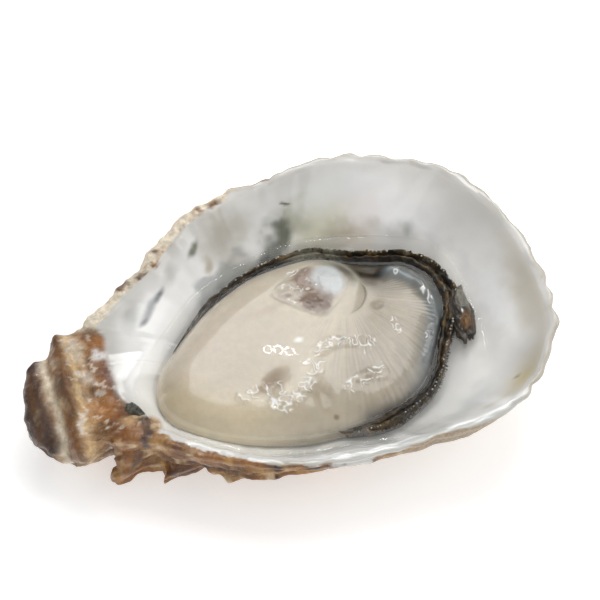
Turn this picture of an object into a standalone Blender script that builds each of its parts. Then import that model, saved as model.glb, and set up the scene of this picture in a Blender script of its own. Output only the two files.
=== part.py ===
"""An opened cupped oyster on the half shell, resting on the flat under its lower valve.

Metres, +Z up. The origin is on the resting face, under the middle of the shell. +X runs from
the hinge to the bill, the thin open end, and +Y points away from the low side of the rim.
The tables below are in millimetres, and every outline is seen from above. Each outline is
star-shaped about the origin, so the shell is built on rays that leave the origin.
"""

import bmesh
import bpy
import numpy as np

MM = 0.001
GAP = 0.45  # clearance that neighbouring solids keep
FLOOR_GAP = 0.8  # clearance under the wide organs, whose facets bow over the hollow

# The rim, counter-clockwise from the bill: x, y, height, thickness of the edge, width of the lip
RIM = (
    (56.9, 1.5, 27.0, 1.5, 2.0),
    (52.8, 14.6, 28.0, 1.5, 2.0),
    (46.0, 26.0, 28.0, 1.5, 2.0),
    (34.0, 32.3, 28.0, 1.6, 2.0),
    (20.0, 36.0, 28.0, 1.8, 2.0),
    (4.0, 33.2, 28.0, 2.0, 2.0),
    (-9.0, 30.3, 27.0, 2.0, 2.0),
    (-17.0, 27.0, 26.0, 2.2, 2.2),
    (-25.0, 20.0, 25.0, 2.5, 2.4),
    (-33.0, 15.0, 23.0, 3.0, 2.8),
    (-41.0, 9.3, 21.5, 4.5, 4.5),
    (-48.0, 7.3, 19.5, 7.0, 11.0),
    (-54.9, 3.3, 17.5, 8.5, 17.5),
    (-57.6, -4.5, 15.5, 9.0, 20.5),
    (-57.9, -12.0, 11.5, 6.5, 21.5),
    (-52.0, -16.6, 11.5, 6.0, 18.5),
    (-45.0, -18.2, 15.0, 9.5, 13.0),
    (-37.5, -19.7, 17.5, 13.0, 7.0),
    (-30.0, -22.8, 18.0, 13.0, 3.8),
    (-23.0, -26.8, 18.0, 11.0, 2.9),
    (-14.0, -31.3, 18.0, 8.0, 2.3),
    (-4.0, -34.3, 18.0, 6.0, 2.2),
    (10.0, -35.8, 18.3, 4.5, 2.2),
    (26.0, -35.0, 19.0, 3.5, 2.2),
    (40.0, -34.0, 21.0, 2.5, 2.0),
    (49.0, -29.0, 22.0, 2.0, 2.0),
    (56.7, -19.2, 24.0, 1.6, 2.0),
    (58.3, -9.6, 25.5, 1.5, 2.0),
)
COLUMNS_PER_STATION = 3

# The hollow: where the brine stands against the wall, and the depth under it
WATERLINE = (
    (43.5, -1.0),
    (42.2, 10.5),
    (36.0, 16.8),
    (22.0, 21.2),
    (9.0, 23.0),
    (-3.0, 20.5),
    (-15.5, 15.2),
    (-25.5, 5.5),
    (-33.5, -5.0),
    (-33.0, -12.0),
    (-29.8, -17.2),
    (-22.5, -22.5),
    (-11.0, -29.0),
    (2.0, -31.2),
    (19.0, -31.8),
    (33.5, -27.5),
    (41.5, -19.0),
    (44.0, -10.0),
)
WATER_HEIGHT = 16.0
FLOOR_HEIGHT = 4.0
WALL_POWER = 2.2
LEAST_POWER = 1.8
LIP_DROP = 0.4
HINGE_PLATE_HEIGHT = 17.3
LIP_CROWN = 0.25
HINGE_CROWN = 3.0
HINGE_LIP = 20.0  # lip width at which the hinge plate has its full crown
HOLLOW_RINGS = (0.2, 0.38, 0.54, 0.67, 0.78, 0.87, 0.94, 1.0)
LIP_RINGS = (0.3, 0.6, 0.85, 1.0)

# The outside: the edge drops almost straight, then the wall curves in to the worn flat
REST_CENTRE = (2.0, -2.0)
REST_HALF = (27.0, 14.0)
EDGE_LEAN = 0.12
BELLY_POWER = 0.72
WALL_RINGS = (0.75, 0.5, 0.28, 0.1, 0.0)

# Knobs and notches in the old growth layers: direction, height, reach, half sizes
KNOBS = (
    (-157.8, 4.0, -4.5, 3.0, 6.0),
    (-151.8, 6.0, 7.6, 3.2, 5.0),
    (-141.5, 6.0, 4.6, 3.6, 4.5),
    (-108.0, 6.0, 1.8, 7.0, 3.5),
)

# The soft body: outlines of its organs at the height of the brine
VISCERA = (
    (-29.3, -10.0),
    (-27.3, -4.3),
    (-22.8, 1.0),
    (-16.5, 5.6),
    (-11.5, 9.0),
    (-2.2, 14.2),
    (6.5, 16.4),
    (12.5, 16.4),
    (17.3, 14.0),
    (19.6, 10.0),
    (19.0, 5.0),
    (17.3, 0.5),
    (15.6, -5.0),
    (13.0, -12.0),
    (9.6, -18.4),
    (6.6, -23.6),
    (-2.0, -26.0),
    (-12.0, -24.0),
    (-22.0, -19.7),
    (-27.6, -14.7),
)
VISCERA_CENTRE = (-5.0, -6.0)
VISCERA_TOP = 19.0

GILLS = (
    (20.6, 12.6),
    (26.0, 10.8),
    (30.5, 10.0),
    (34.6, 6.0),
    (36.6, 1.8),
    (36.4, -2.0),
    (34.0, -6.8),
    (31.0, -12.7),
    (29.2, -16.6),
    (26.0, -20.6),
    (19.0, -24.0),
    (13.5, -25.0),
    (8.6, -24.4),
    (10.8, -18.8),
    (14.2, -12.2),
    (16.8, -5.0),
    (18.6, 0.5),
    (20.2, 5.0),
)
GILLS_CENTRE = (24.5, -6.0)
GILLS_TOP = 18.4

DOME_RINGS = (0.3, 0.55, 0.75, 0.9, 1.0)
SOFT_EDGE_TOP = 16.8

MANTLE_PATH = (
    (-14.3, 11.0),
    (-9.0, 13.6),
    (-2.8, 16.4),
    (6.0, 18.6),
    (12.8, 18.6),
    (19.5, 15.9),
    (26.5, 13.2),
    (31.8, 12.2),
    (36.6, 8.0),
    (39.1, 2.5),
    (38.9, -2.0),
    (36.5, -7.4),
    (33.5, -13.2),
    (31.6, -17.4),
    (27.6, -22.4),
    (20.0, -26.2),
    (9.5, -27.4),
)
MANTLE_HALF_WIDTH = 1.5
MANTLE_TOP = 17.6
MANTLE_SAMPLES_PER_SPAN = 3

MUSCLE_CENTRE = (10.5, 8.0)
MUSCLE_HALF = (6.4, 5.8)
MUSCLE_TOP = 19.6
MUSCLE_SIDES = 32

# The ligament: a scrap of the dark hinge pad, left at the edge of the hollow
LIGAMENT_CENTRE = (-34.4, -13.6)
LIGAMENT_HALF = (2.6, 1.5)
LIGAMENT_TURN = -50.0
LIGAMENT_THICKNESS = 1.1
LIGAMENT_SIDES = 20

LIQUOR_EDGE_DEPTH = 0.65
LIQUOR_COLUMNS = 96
LIQUOR_SKIN = 0.15
LIQUOR_LEAST_WIDTH = 0.5
MEAT_CLEARANCE = 0.6

SHELL_LOOK = ("shell_nacre", (0.80, 0.79, 0.77), 0.28)
LIGAMENT_LOOK = ("ligament_horn", (0.09, 0.08, 0.06), 0.45)
VISCERA_LOOK = ("body_cream", (0.72, 0.62, 0.48), 0.25)
MUSCLE_LOOK = ("muscle_pearl", (0.76, 0.68, 0.64), 0.22)
GILLS_LOOK = ("gill_beige", (0.60, 0.54, 0.44), 0.28)
MANTLE_LOOK = ("mantle_dark", (0.07, 0.065, 0.05), 0.25)
LIQUOR_LOOK = ("brine", (0.86, 0.88, 0.86), 0.03)


def closed_spline(stations, per_station):
    """Points on a closed Catmull-Rom curve through the stations."""
    own = np.asarray(stations, float)
    before, after, beyond = (np.roll(own, shift, 0) for shift in (1, -1, -2))
    a, b, c, d = (p[:, None, :] for p in (before, own, after, beyond))
    t = (np.arange(per_station) / per_station)[None, :, None]
    curve = 2 * b + (c - a) * t + (2 * a - 5 * b + 4 * c - d) * t**2
    curve = 0.5 * (curve + (3 * b - 3 * c + d - a) * t**3)
    return curve.reshape(-1, own.shape[1])


def open_spline(stations, per_span):
    """Points on a Catmull-Rom curve from the first station to the last."""
    own = np.asarray(stations, float)
    padded = np.vstack((2 * own[0] - own[1], own, 2 * own[-1] - own[-2]))
    a, b, c, d = (padded[i : len(own) - 1 + i, None, :] for i in range(4))
    t = (np.arange(per_span) / per_span)[None, :, None]
    curve = 2 * b + (c - a) * t + (2 * a - 5 * b + 4 * c - d) * t**2
    curve = 0.5 * (curve + (3 * b - 3 * c + d - a) * t**3)
    return np.vstack((curve.reshape(-1, own.shape[1]), own[-1]))


def left_of(path):
    """Unit vectors square to an open path, to the left of its travel."""
    along = np.gradient(path, axis=0)
    along /= np.linalg.norm(along, axis=1)[:, None]
    return np.column_stack((-along[:, 1], along[:, 0]))


def polar(x, y):
    return np.arctan2(y, x), np.hypot(x, y)


def radius_reader(points):
    """A function from direction to the outline's radius, then its further columns."""
    direction, radius = polar(points[:, 0], points[:, 1])
    columns = [radius, *points[:, 2:].T]
    return lambda angles: [
        np.interp(angles, direction, column, period=2 * np.pi) for column in columns
    ]


rim_at = radius_reader(closed_spline(RIM, 12))
waterline_at = radius_reader(closed_spline(WATERLINE, 12))


def section_at(angles):
    """The measures of the shell's section along each ray, by name."""
    rim, height, edge, lip = rim_at(angles)
    water = waterline_at(angles)[0]
    hollow = rim - lip
    hollow_height = np.maximum(height - LIP_DROP, HINGE_PLATE_HEIGHT)
    climb = (hollow_height - WATER_HEIGHT) / (hollow - water)
    depth = WATER_HEIGHT - FLOOR_HEIGHT
    power = np.clip(2.5 * climb * water / depth, LEAST_POWER, WALL_POWER)
    return {
        "rim": rim,
        "height": height,
        "edge": edge,
        "lip": lip,
        "water": water,
        "hollow": hollow,
        "hollow_height": hollow_height,
        "climb": climb,
        "power": power,
    }


def inside_height(s, radius):
    """Height of the hollow's surface: a power curve to the waterline, then a flaring wall."""
    depth = WATER_HEIGHT - FLOOR_HEIGHT
    bowl = FLOOR_HEIGHT + depth * (np.minimum(radius / s["water"], 1)) ** s["power"]
    span = s["hollow"] - s["water"]
    t = np.clip((radius - s["water"]) / span, 0, 1)
    start = np.minimum(depth * s["power"] / s["water"], 3 * s["climb"]) * span
    end = 0.7 * s["climb"] * span
    rise = s["hollow_height"] - WATER_HEIGHT
    wall = (t**3 - 2 * t**2 + t) * start + (3 * t**2 - 2 * t**3) * rise
    wall = wall + (t**3 - t**2) * end
    return np.where(radius < s["water"], bowl, WATER_HEIGHT + wall)


def lip_height(s, t):
    """Height of the lip, from the hollow's edge (t = 0) to the rim (t = 1)."""
    crown = LIP_CROWN + HINGE_CROWN * np.clip(s["lip"] / HINGE_LIP - 0.15, 0, 1)
    straight = s["hollow_height"] + (s["height"] - s["hollow_height"]) * t
    return straight + crown * 4 * t * (1 - t) * (0.6 + 0.8 * t)


def shell_top(x, y):
    """Height of the shell's upper surface at (x, y)."""
    angle, radius = polar(x, y)
    s = section_at(angle)
    t = np.clip((radius - s["hollow"]) / s["lip"], 0, 1)
    return np.where(radius < s["hollow"], inside_height(s, radius), lip_height(s, t))


def rest_radius(angles):
    """Radius from the origin to the edge of the worn flat, an ellipse off the origin."""
    cosine, sine = np.cos(angles), np.sin(angles)
    (cx, cy), (a, b) = REST_CENTRE, REST_HALF
    square = (cosine / a) ** 2 + (sine / b) ** 2
    middle = cosine * cx / a**2 + sine * cy / b**2
    short = (cx / a) ** 2 + (cy / b) ** 2 - 1
    return (middle + np.sqrt(middle**2 - square * short)) / square


def knob_reach(angles, height):
    reach = np.zeros_like(angles + height)
    for direction, middle, size, half_angle, half_height in KNOBS:
        across = (np.degrees(angles) - direction + 180) % 360 - 180
        away = (across / half_angle) ** 2 + ((height - middle) / half_height) ** 2
        reach += size * np.exp(-away)
    return reach


def outside_ring(s, angles, share):
    """Radius and height of the outer wall, where share is the height left below the edge."""
    low_radius = s["rim"] - EDGE_LEAN * s["edge"]
    low_height = s["height"] - s["edge"]
    rest = rest_radius(angles)
    height = low_height * share
    radius = rest + (low_radius - rest) * share**BELLY_POWER
    return radius + knob_reach(angles, height) * (share > 0), height


def make_object(name, points, faces, look):
    """A shaded object from millimetre points, its faces turned to point out."""
    mesh = bpy.data.meshes.new(name)
    mesh.from_pydata((np.asarray(points) * MM).tolist(), [], faces)
    turned = bmesh.new()
    turned.from_mesh(mesh)
    bmesh.ops.recalc_face_normals(turned, faces=turned.faces)
    turned.to_mesh(mesh)
    turned.free()
    mesh.shade_smooth()
    mesh.set_sharp_from_angle(angle=np.radians(50))
    mesh.materials.append(principled(*look))
    obj = bpy.data.objects.new(name, mesh)
    bpy.context.scene.collection.objects.link(obj)
    return obj


def principled(name, colour, roughness):
    material = bpy.data.materials.new(name)
    material.use_nodes = True
    shader = material.node_tree.nodes["Principled BSDF"]
    shader.inputs["Base Color"].default_value = (*colour, 1)
    shader.inputs["Roughness"].default_value = roughness
    shader.inputs["Metallic"].default_value = 0
    material.diffuse_color = (*colour, 1)
    return material


def ring_faces(rings, columns, closed=False):
    """Quads between neighbouring rings of points; closed joins the last ring to the first."""
    faces = []
    for ring in range(rings if closed else rings - 1):
        here, there = ring * columns, (ring + 1) % rings * columns
        for column in range(columns):
            following = (column + 1) % columns
            faces.append((here + column, here + following, there + following, there + column))
    return faces


def capped_rings(first, rings, last):
    """Points and faces of a closed surface: a point, rings around it, and a point."""
    columns = len(rings[0])
    points = np.vstack((*rings, [first], [last]))
    faces = ring_faces(len(rings), columns)
    start, end = len(points) - 2, len(points) - 1
    last_ring = (len(rings) - 1) * columns
    for column in range(columns):
        following = (column + 1) % columns
        faces.append((start, following, column))
        faces.append((end, last_ring + column, last_ring + following))
    return points, faces


def on_rays(angles, radius, height):
    height = np.broadcast_to(height, angles.shape)
    return np.column_stack((radius * np.cos(angles), radius * np.sin(angles), height))


def make_shell():
    stations = closed_spline(RIM, COLUMNS_PER_STATION)
    angles = polar(stations[:, 0], stations[:, 1])[0]
    s = section_at(angles)
    rings = []
    for share in HOLLOW_RINGS:
        radius = s["hollow"] * share
        rings.append(on_rays(angles, radius, inside_height(s, radius)))
    for t in LIP_RINGS:
        rings.append(on_rays(angles, s["hollow"] + s["lip"] * t, lip_height(s, t)))
    rings.append(on_rays(angles, *outside_ring(s, angles, 1.0)))
    for share in WALL_RINGS:
        rings.append(on_rays(angles, *outside_ring(s, angles, share)))
    points, faces = capped_rings((0, 0, FLOOR_HEIGHT), rings, (*REST_CENTRE, 0))
    return make_object("lower_shell", points, faces, SHELL_LOOK)


def make_lump(name, outline, centre, top, edge_top, look):
    """A soft organ: it fills the hollow under its outline and has a low dome on top."""
    arms = np.asarray(outline) - centre
    rings = []
    for share in DOME_RINGS:
        plan = centre + arms * share
        height = np.full(len(plan), top - (top - edge_top) * share**2)
        rings.append(np.column_stack((plan, height)))
    for share in reversed(DOME_RINGS):
        plan = centre + arms * share
        rings.append(np.column_stack((plan, shell_top(*plan.T) + FLOOR_GAP)))
    start = (*centre, top)
    end = (*centre, shell_top(*centre) + FLOOR_GAP)
    points, faces = capped_rings(start, rings, end)
    return make_object(name, points, faces, look)


def oval(centre, half, turn, sides):
    """Points of an ellipse in plan, turned by the given degrees."""
    t = np.arange(sides) * 2 * np.pi / sides
    u, v = half[0] * np.cos(t), half[1] * np.sin(t)
    c, s = np.cos(np.radians(turn)), np.sin(np.radians(turn))
    return np.column_stack((centre[0] + u * c - v * s, centre[1] + u * s + v * c))


def make_viscera():
    outline = closed_spline(VISCERA, 3)
    body = make_lump("visceral_mass", outline, VISCERA_CENTRE, VISCERA_TOP, SOFT_EDGE_TOP, VISCERA_LOOK)
    hole = tuple(half + GAP for half in MUSCLE_HALF)
    plan = oval(MUSCLE_CENTRE, hole, 0, MUSCLE_SIDES)
    rings = [np.column_stack((plan, np.full(len(plan), z))) for z in (0.0, 2 * VISCERA_TOP)]
    points, faces = capped_rings((*MUSCLE_CENTRE, 0), rings, (*MUSCLE_CENTRE, 2 * VISCERA_TOP))
    cutter = make_object("muscle_hole_cutter", points, faces, MUSCLE_LOOK)
    cutter.hide_render = True
    cutter.display_type = "WIRE"
    cut = body.modifiers.new("muscle hole", "BOOLEAN")
    cut.operation = "DIFFERENCE"
    cut.solver = "EXACT"
    cut.object = cutter
    return body


def make_muscle():
    outline = oval(MUSCLE_CENTRE, MUSCLE_HALF, 0, MUSCLE_SIDES)
    edge_top = MUSCLE_TOP - 1.2
    return make_lump("adductor_muscle", outline, MUSCLE_CENTRE, MUSCLE_TOP, edge_top, MUSCLE_LOOK)


def make_gills():
    outline = closed_spline(GILLS, 3)
    return make_lump("gills", outline, GILLS_CENTRE, GILLS_TOP, SOFT_EDGE_TOP, GILLS_LOOK)


def make_mantle():
    """The mantle's edge: a strip that stands on the shell and follows the organs' outer side."""
    path = open_spline(MANTLE_PATH, MANTLE_SAMPLES_PER_SPAN)
    side = left_of(path) * MANTLE_HALF_WIDTH
    loops = []
    for step, across in zip(path, side):
        left, right = step + across, step - across
        feet = [(*p, shell_top(*p) + GAP) for p in (left, step, right)]
        crest = [(*p, MANTLE_TOP - drop) for p, drop in ((right, 0.7), (step, 0.0), (left, 0.7))]
        loops.append(np.array(feet + crest))
    points = np.vstack(loops)
    corners = len(loops[0])
    faces = ring_faces(len(loops), corners)
    faces.append(tuple(range(corners)))
    faces.append(tuple(range(len(points) - corners, len(points))))
    return make_object("mantle", points, faces, MANTLE_LOOK)


def make_ligament():
    outline = oval(LIGAMENT_CENTRE, LIGAMENT_HALF, LIGAMENT_TURN, LIGAMENT_SIDES)
    rings = []
    for share, lift in ((0.6, 1.0), (1.0, 0.55), (1.0, 0.0), (0.5, 0.0)):
        plan = LIGAMENT_CENTRE + (outline - LIGAMENT_CENTRE) * share
        height = shell_top(*plan.T) + GAP + LIGAMENT_THICKNESS * lift
        rings.append(np.column_stack((plan, height)))
    foot = shell_top(*LIGAMENT_CENTRE) + GAP
    start = (*LIGAMENT_CENTRE, foot + LIGAMENT_THICKNESS)
    points, faces = capped_rings(start, rings, (*LIGAMENT_CENTRE, foot))
    return make_object("hinge_ligament", points, faces, LIGAMENT_LOOK)


def soft_body_radius(angles):
    """Radius, along each ray, of the outer side of the soft body: the viscera or the mantle."""
    path = open_spline(MANTLE_PATH, 12)
    outer = path + left_of(path) * MANTLE_HALF_WIDTH
    direction, radius = polar(outer[:, 0], outer[:, 1])
    order = np.argsort(direction)
    wrapped = (angles + np.pi) % (2 * np.pi) - np.pi
    mantle = np.interp(wrapped, direction[order], radius[order], left=0, right=0)
    viscera = radius_reader(closed_spline(VISCERA, 12))(angles)[0]
    return np.maximum(mantle, viscera)


def make_liquor():
    """The brine: a ring of clear liquid between the soft body and the wall of the hollow."""
    angles = np.linspace(-np.pi, np.pi, LIQUOR_COLUMNS, endpoint=False)
    s = section_at(angles)
    depth = WATER_HEIGHT - FLOOR_HEIGHT
    edge_share = ((depth - LIQUOR_EDGE_DEPTH) / depth) ** (1 / s["power"])
    step = 2 * np.pi / LIQUOR_COLUMNS
    nearby = [soft_body_radius(angles + turn * step) for turn in (-1.0, -0.5, 0.0, 0.5, 1.0)]
    inner = np.max(nearby, axis=0) + MEAT_CLEARANCE
    outer = np.maximum(s["water"] * edge_share, inner + LIQUOR_LEAST_WIDTH)
    middle = (inner + outer) / 2
    rings = [on_rays(angles, radius, WATER_HEIGHT) for radius in (inner, middle, outer)]
    for radius in (outer, middle, inner):
        underside = inside_height(s, radius) + GAP
        rings.append(on_rays(angles, radius, np.minimum(underside, WATER_HEIGHT - LIQUOR_SKIN)))
    points = np.vstack(rings)
    faces = ring_faces(len(rings), len(angles), closed=True)
    return make_object("liquor", points, faces, LIQUOR_LOOK)


def clear_scene():
    for obj in list(bpy.data.objects):
        bpy.data.objects.remove(obj, do_unlink=True)


def main():
    clear_scene()
    make_shell()
    make_ligament()
    make_viscera()
    make_muscle()
    make_gills()
    make_mantle()
    make_liquor()


main()
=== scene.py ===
"""The looks of an opened cupped oyster on the half shell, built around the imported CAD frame.

The sizes below are in millimetres of the design, and UNIT turns them into the frame's metres.
+X runs from the hinge to the bill, +Y to the high side of the rim, and +Z up.
"""

import math

import bpy
import numpy as np
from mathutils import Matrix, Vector


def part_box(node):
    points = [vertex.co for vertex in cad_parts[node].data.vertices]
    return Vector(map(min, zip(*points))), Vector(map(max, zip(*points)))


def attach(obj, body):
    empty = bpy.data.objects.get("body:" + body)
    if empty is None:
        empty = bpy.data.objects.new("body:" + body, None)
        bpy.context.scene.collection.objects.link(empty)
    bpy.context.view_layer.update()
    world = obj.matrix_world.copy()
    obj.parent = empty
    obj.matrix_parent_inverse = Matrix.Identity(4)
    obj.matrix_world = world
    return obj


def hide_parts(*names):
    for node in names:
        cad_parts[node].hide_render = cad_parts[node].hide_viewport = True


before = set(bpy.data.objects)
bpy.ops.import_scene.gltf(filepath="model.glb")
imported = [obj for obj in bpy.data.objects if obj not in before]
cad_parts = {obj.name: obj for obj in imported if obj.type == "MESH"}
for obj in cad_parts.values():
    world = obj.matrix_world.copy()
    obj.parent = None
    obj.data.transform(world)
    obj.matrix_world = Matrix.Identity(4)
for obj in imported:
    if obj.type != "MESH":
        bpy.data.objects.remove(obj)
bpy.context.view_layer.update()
SHELL_LOW, SHELL_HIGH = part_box("lower_shell")
DESIGN_LENGTH = 116.65
UNIT = (SHELL_HIGH.x - SHELL_LOW.x) / DESIGN_LENGTH

# ---------------------------------------------------------------- design of the solids

# The rim, counter-clockwise from the bill: x, y, height, thickness of the edge, width of the lip
RIM = (
    (56.9, 1.5, 27.0, 1.5, 2.0),
    (52.8, 14.6, 28.0, 1.5, 2.0),
    (46.0, 26.0, 28.0, 1.5, 2.0),
    (34.0, 32.3, 28.0, 1.6, 2.0),
    (20.0, 36.0, 28.0, 1.8, 2.0),
    (4.0, 33.2, 28.0, 2.0, 2.0),
    (-9.0, 30.3, 27.0, 2.0, 2.0),
    (-17.0, 27.0, 26.0, 2.2, 2.2),
    (-25.0, 20.0, 25.0, 2.5, 2.4),
    (-33.0, 15.0, 23.0, 3.0, 2.8),
    (-41.0, 9.3, 21.5, 4.5, 4.5),
    (-48.0, 7.3, 19.5, 7.0, 11.0),
    (-54.9, 3.3, 17.5, 8.5, 17.5),
    (-57.6, -4.5, 15.5, 9.0, 20.5),
    (-57.9, -12.0, 11.5, 6.5, 21.5),
    (-52.0, -16.6, 11.5, 6.0, 18.5),
    (-45.0, -18.2, 15.0, 9.5, 13.0),
    (-37.5, -19.7, 17.5, 13.0, 7.0),
    (-30.0, -22.8, 18.0, 13.0, 3.8),
    (-23.0, -26.8, 18.0, 11.0, 2.9),
    (-14.0, -31.3, 18.0, 8.0, 2.3),
    (-4.0, -34.3, 18.0, 6.0, 2.2),
    (10.0, -35.8, 18.3, 4.5, 2.2),
    (26.0, -35.0, 19.0, 3.5, 2.2),
    (40.0, -34.0, 21.0, 2.5, 2.0),
    (49.0, -29.0, 22.0, 2.0, 2.0),
    (56.7, -19.2, 24.0, 1.6, 2.0),
    (58.3, -9.6, 25.5, 1.5, 2.0),
)
FINE_STATIONS = range(9, 23)  # the rough hinge end and low side get more columns
COARSE_COLUMNS, FINE_COLUMNS = 16, 24
SECTION_POINTS = 170

WATERLINE = (
    (43.5, -1.0), (42.2, 10.5), (36.0, 16.8), (22.0, 21.2), (9.0, 23.0), (-3.0, 20.5),
    (-15.5, 15.2), (-25.5, 5.5), (-33.5, -5.0), (-33.0, -12.0), (-29.8, -17.2), (-22.5, -22.5),
    (-11.0, -29.0), (2.0, -31.2), (19.0, -31.8), (33.5, -27.5), (41.5, -19.0), (44.0, -10.0),
)
WATER_HEIGHT = 16.0
FLOOR_HEIGHT = 4.0
WALL_POWER = 2.2
LEAST_POWER = 1.8
LIP_DROP = 0.4
EDGE_ROUNDING = 0.6
ROUNDING_SHARE = 0.8
HINGE_PLATE_HEIGHT = 17.3
LIP_CROWN = 0.25
HINGE_CROWN = 3.0
HINGE_LIP = 20.0
REST_CENTRE = (2.0, -2.0)
REST_HALF = (27.0, 14.0)
EDGE_LEAN = 0.12
BELLY_POWER = 0.72
# Knobs that stand out of the wall: direction in degrees, height, reach, half angle, half height
KNOBS = (
    (-157.8, 4.0, -4.5, 3.0, 6.0),
    (-151.8, 6.0, 7.0, 3.8, 5.0),
    (-141.5, 6.0, 4.6, 3.6, 4.5),
    (-108.0, 6.0, 1.8, 7.0, 3.5),
)
# Slighter ones, which only the finished shell has
FINE_KNOBS = (
    (-167.5, 8.0, -2.6, 3.2, 8.0),
    (-160.0, 11.0, 2.4, 1.4, 7.0),
    (-157.0, 10.0, -2.2, 1.1, 7.0),
    (-149.0, 4.0, -1.2, 1.0, 4.0),
    (-133.0, 6.0, -1.6, 1.6, 5.0),
    (-122.0, 8.0, 1.0, 2.0, 4.0),
    (136.0, 26.0, 1.0, 10.0, 6.0),
    (-178.0, 13.0, -1.4, 5.0, 7.0),
    (118.0, 27.0, 0.7, 7.0, 6.0),
)

# Everything soft, as one outline, and the path of the mantle's dark edge round it
BODY = (
    (-29.3, -10.0), (-27.8, -4.3), (-23.2, 1.6), (-16.6, 8.0), (-9.0, 13.0), (-2.4, 16.0),
    (6.3, 17.6), (12.6, 17.6), (19.0, 15.2), (26.0, 12.6), (31.0, 11.4), (35.6, 7.4),
    (38.0, 2.4), (37.8, -2.0), (35.4, -7.0), (32.5, -13.0), (30.6, -17.2), (26.8, -21.8),
    (19.6, -25.6), (12.0, -27.0), (4.0, -27.6), (-2.0, -27.2), (-12.0, -24.8), (-22.0, -20.3),
    (-27.9, -15.0),
)
BODY_CENTRE = (3.0, -5.0)
FRILL_PATH = (
    (-23.6, 0.6), (-19.0, 5.6), (-14.3, 10.4), (-9.0, 13.6), (-2.8, 16.4), (6.0, 18.4),
    (12.8, 18.3), (19.5, 15.7), (26.8, 13.8), (32.2, 12.5), (36.8, 8.2), (39.0, 2.5),
    (38.8, -2.0), (36.3, -7.4), (33.3, -13.2), (31.4, -17.4), (27.4, -22.2), (20.0, -26.0),
    (14.0, -27.4), (8.5, -27.2), (4.5, -25.4),
)


# ---------------------------------------------------------------- curves and noise


def spline_points(own, before, after, beyond, t):
    """Points of the Catmull-Rom spans from own to after, at each share t of a span."""
    a, b, c, d = (p[:, None, :] for p in (before, own, after, beyond))
    t = t[None, :, None]
    curve = 2 * b + (c - a) * t + (2 * a - 5 * b + 4 * c - d) * t**2
    return 0.5 * (curve + (3 * b - 3 * c + d - a) * t**3)


def closed_spline(stations, per_station):
    """Points on a closed Catmull-Rom curve through the stations."""
    own = np.asarray(stations, float)
    before, after, beyond = (np.roll(own, shift, 0) for shift in (1, -1, -2))
    t = np.arange(per_station) / per_station
    return spline_points(own, before, after, beyond, t).reshape(-1, own.shape[1])


def open_spline(stations, per_span):
    """Points on a Catmull-Rom curve from the first station to the last."""
    own = np.asarray(stations, float)
    padded = np.vstack((2 * own[0] - own[1], own, 2 * own[-1] - own[-2]))
    count = len(own) - 1
    a, b, c, d = (padded[i : i + count] for i in range(4))
    t = np.arange(per_span) / per_span
    curve = spline_points(b, a, c, d, t)
    return np.vstack((curve.reshape(-1, own.shape[1]), own[-1]))


def polar(x, y):
    """Direction and distance from the origin."""
    return np.arctan2(y, x), np.hypot(x, y)


def radius_reader(points):
    """A function from direction to the outline's radius, then its further columns."""
    direction, radius = polar(points[:, 0], points[:, 1])
    columns = [radius, *points[:, 2:].T]
    return lambda angles: [
        np.interp(angles, direction, column, period=2 * np.pi) for column in columns
    ]


def smooth(low, high, value):
    """0 below low, 1 above high, and a smooth rise between."""
    t = np.clip((value - low) / (high - low), 0, 1)
    return t * t * (3 - 2 * t)


def hill(value, middle, width):
    """A Gaussian hill of height 1 over one value."""
    return np.exp(-(((value - middle) / width) ** 2))


def lattice(cell, seed):
    """A fixed random number from -1 to 1 for each whole-numbered cell."""
    n = cell[0] * 374761393 + cell[1] * 668265263 + cell[2] * 1442695041 + seed * 974634777
    n = (n & 0xFFFFFFFF).astype(np.uint64)
    n = ((n ^ (n >> np.uint64(13))) * np.uint64(1274126177)) & np.uint64(0xFFFFFFFF)
    n = ((n ^ (n >> np.uint64(16))) * np.uint64(2246822519)) & np.uint64(0xFFFFFFFF)
    n = n ^ (n >> np.uint64(15))
    return (n & np.uint64(0xFFFFFF)).astype(float) / 0x7FFFFF - 1


def noise(x, y, z, size, seed, octaves=1):
    """Smooth noise of about -1 to 1, with features of the given size, at each point."""
    total, weight = 0.0, 0.0
    for octave in range(octaves):
        scale = 2.0**octave / size
        points = [np.asarray(v, float) * scale + 17.3 * (i + 1) for i, v in enumerate((x, y, z))]
        whole = [np.floor(p).astype(np.int64) for p in points]
        part = [p - w for p, w in zip(points, whole)]
        ease = [p * p * p * (p * (p * 6 - 15) + 10) for p in part]
        value = 0.0
        for corner in range(8):
            steps = [(corner >> i) & 1 for i in range(3)]
            share = 1.0
            for step, e in zip(steps, ease):
                share = share * (e if step else 1 - e)
            cell = [w + s for w, s in zip(whole, steps)]
            value = value + share * lattice(cell, seed + octave)
        total = total + value * 0.5**octave
        weight += 0.5**octave
    return total / weight


def plan_noise(x, y, size, seed, octaves=1):
    """Noise that depends on the place in plan and not on the height."""
    return noise(x, y, 0 * x, size, seed, octaves)


def in_ellipse(x, y, centre, half, turn):
    """Place in plan, as shares of the two half sizes of a turned ellipse."""
    c, s = math.cos(math.radians(turn)), math.sin(math.radians(turn))
    u = ((x - centre[0]) * c + (y - centre[1]) * s) / half[0]
    v = ((y - centre[1]) * c - (x - centre[0]) * s) / half[1]
    return u, v


def spot(x, y, centre, half, turn=0.0, soft=0.5):
    """1 inside a turned ellipse in plan, 0 outside, with a soft edge of that share."""
    return 1 - smooth(1 - soft, 1 + soft, np.hypot(*in_ellipse(x, y, centre, half, turn)))


def bump(x, y, centre, half, turn=0.0):
    """A Gaussian hill of height 1 over a turned ellipse."""
    u, v = in_ellipse(x, y, centre, half, turn)
    return np.exp(-(u * u + v * v))


# ---------------------------------------------------------------- the shell's form

rim_at = radius_reader(closed_spline(RIM, 24))
waterline_at = radius_reader(closed_spline(WATERLINE, 24))


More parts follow.
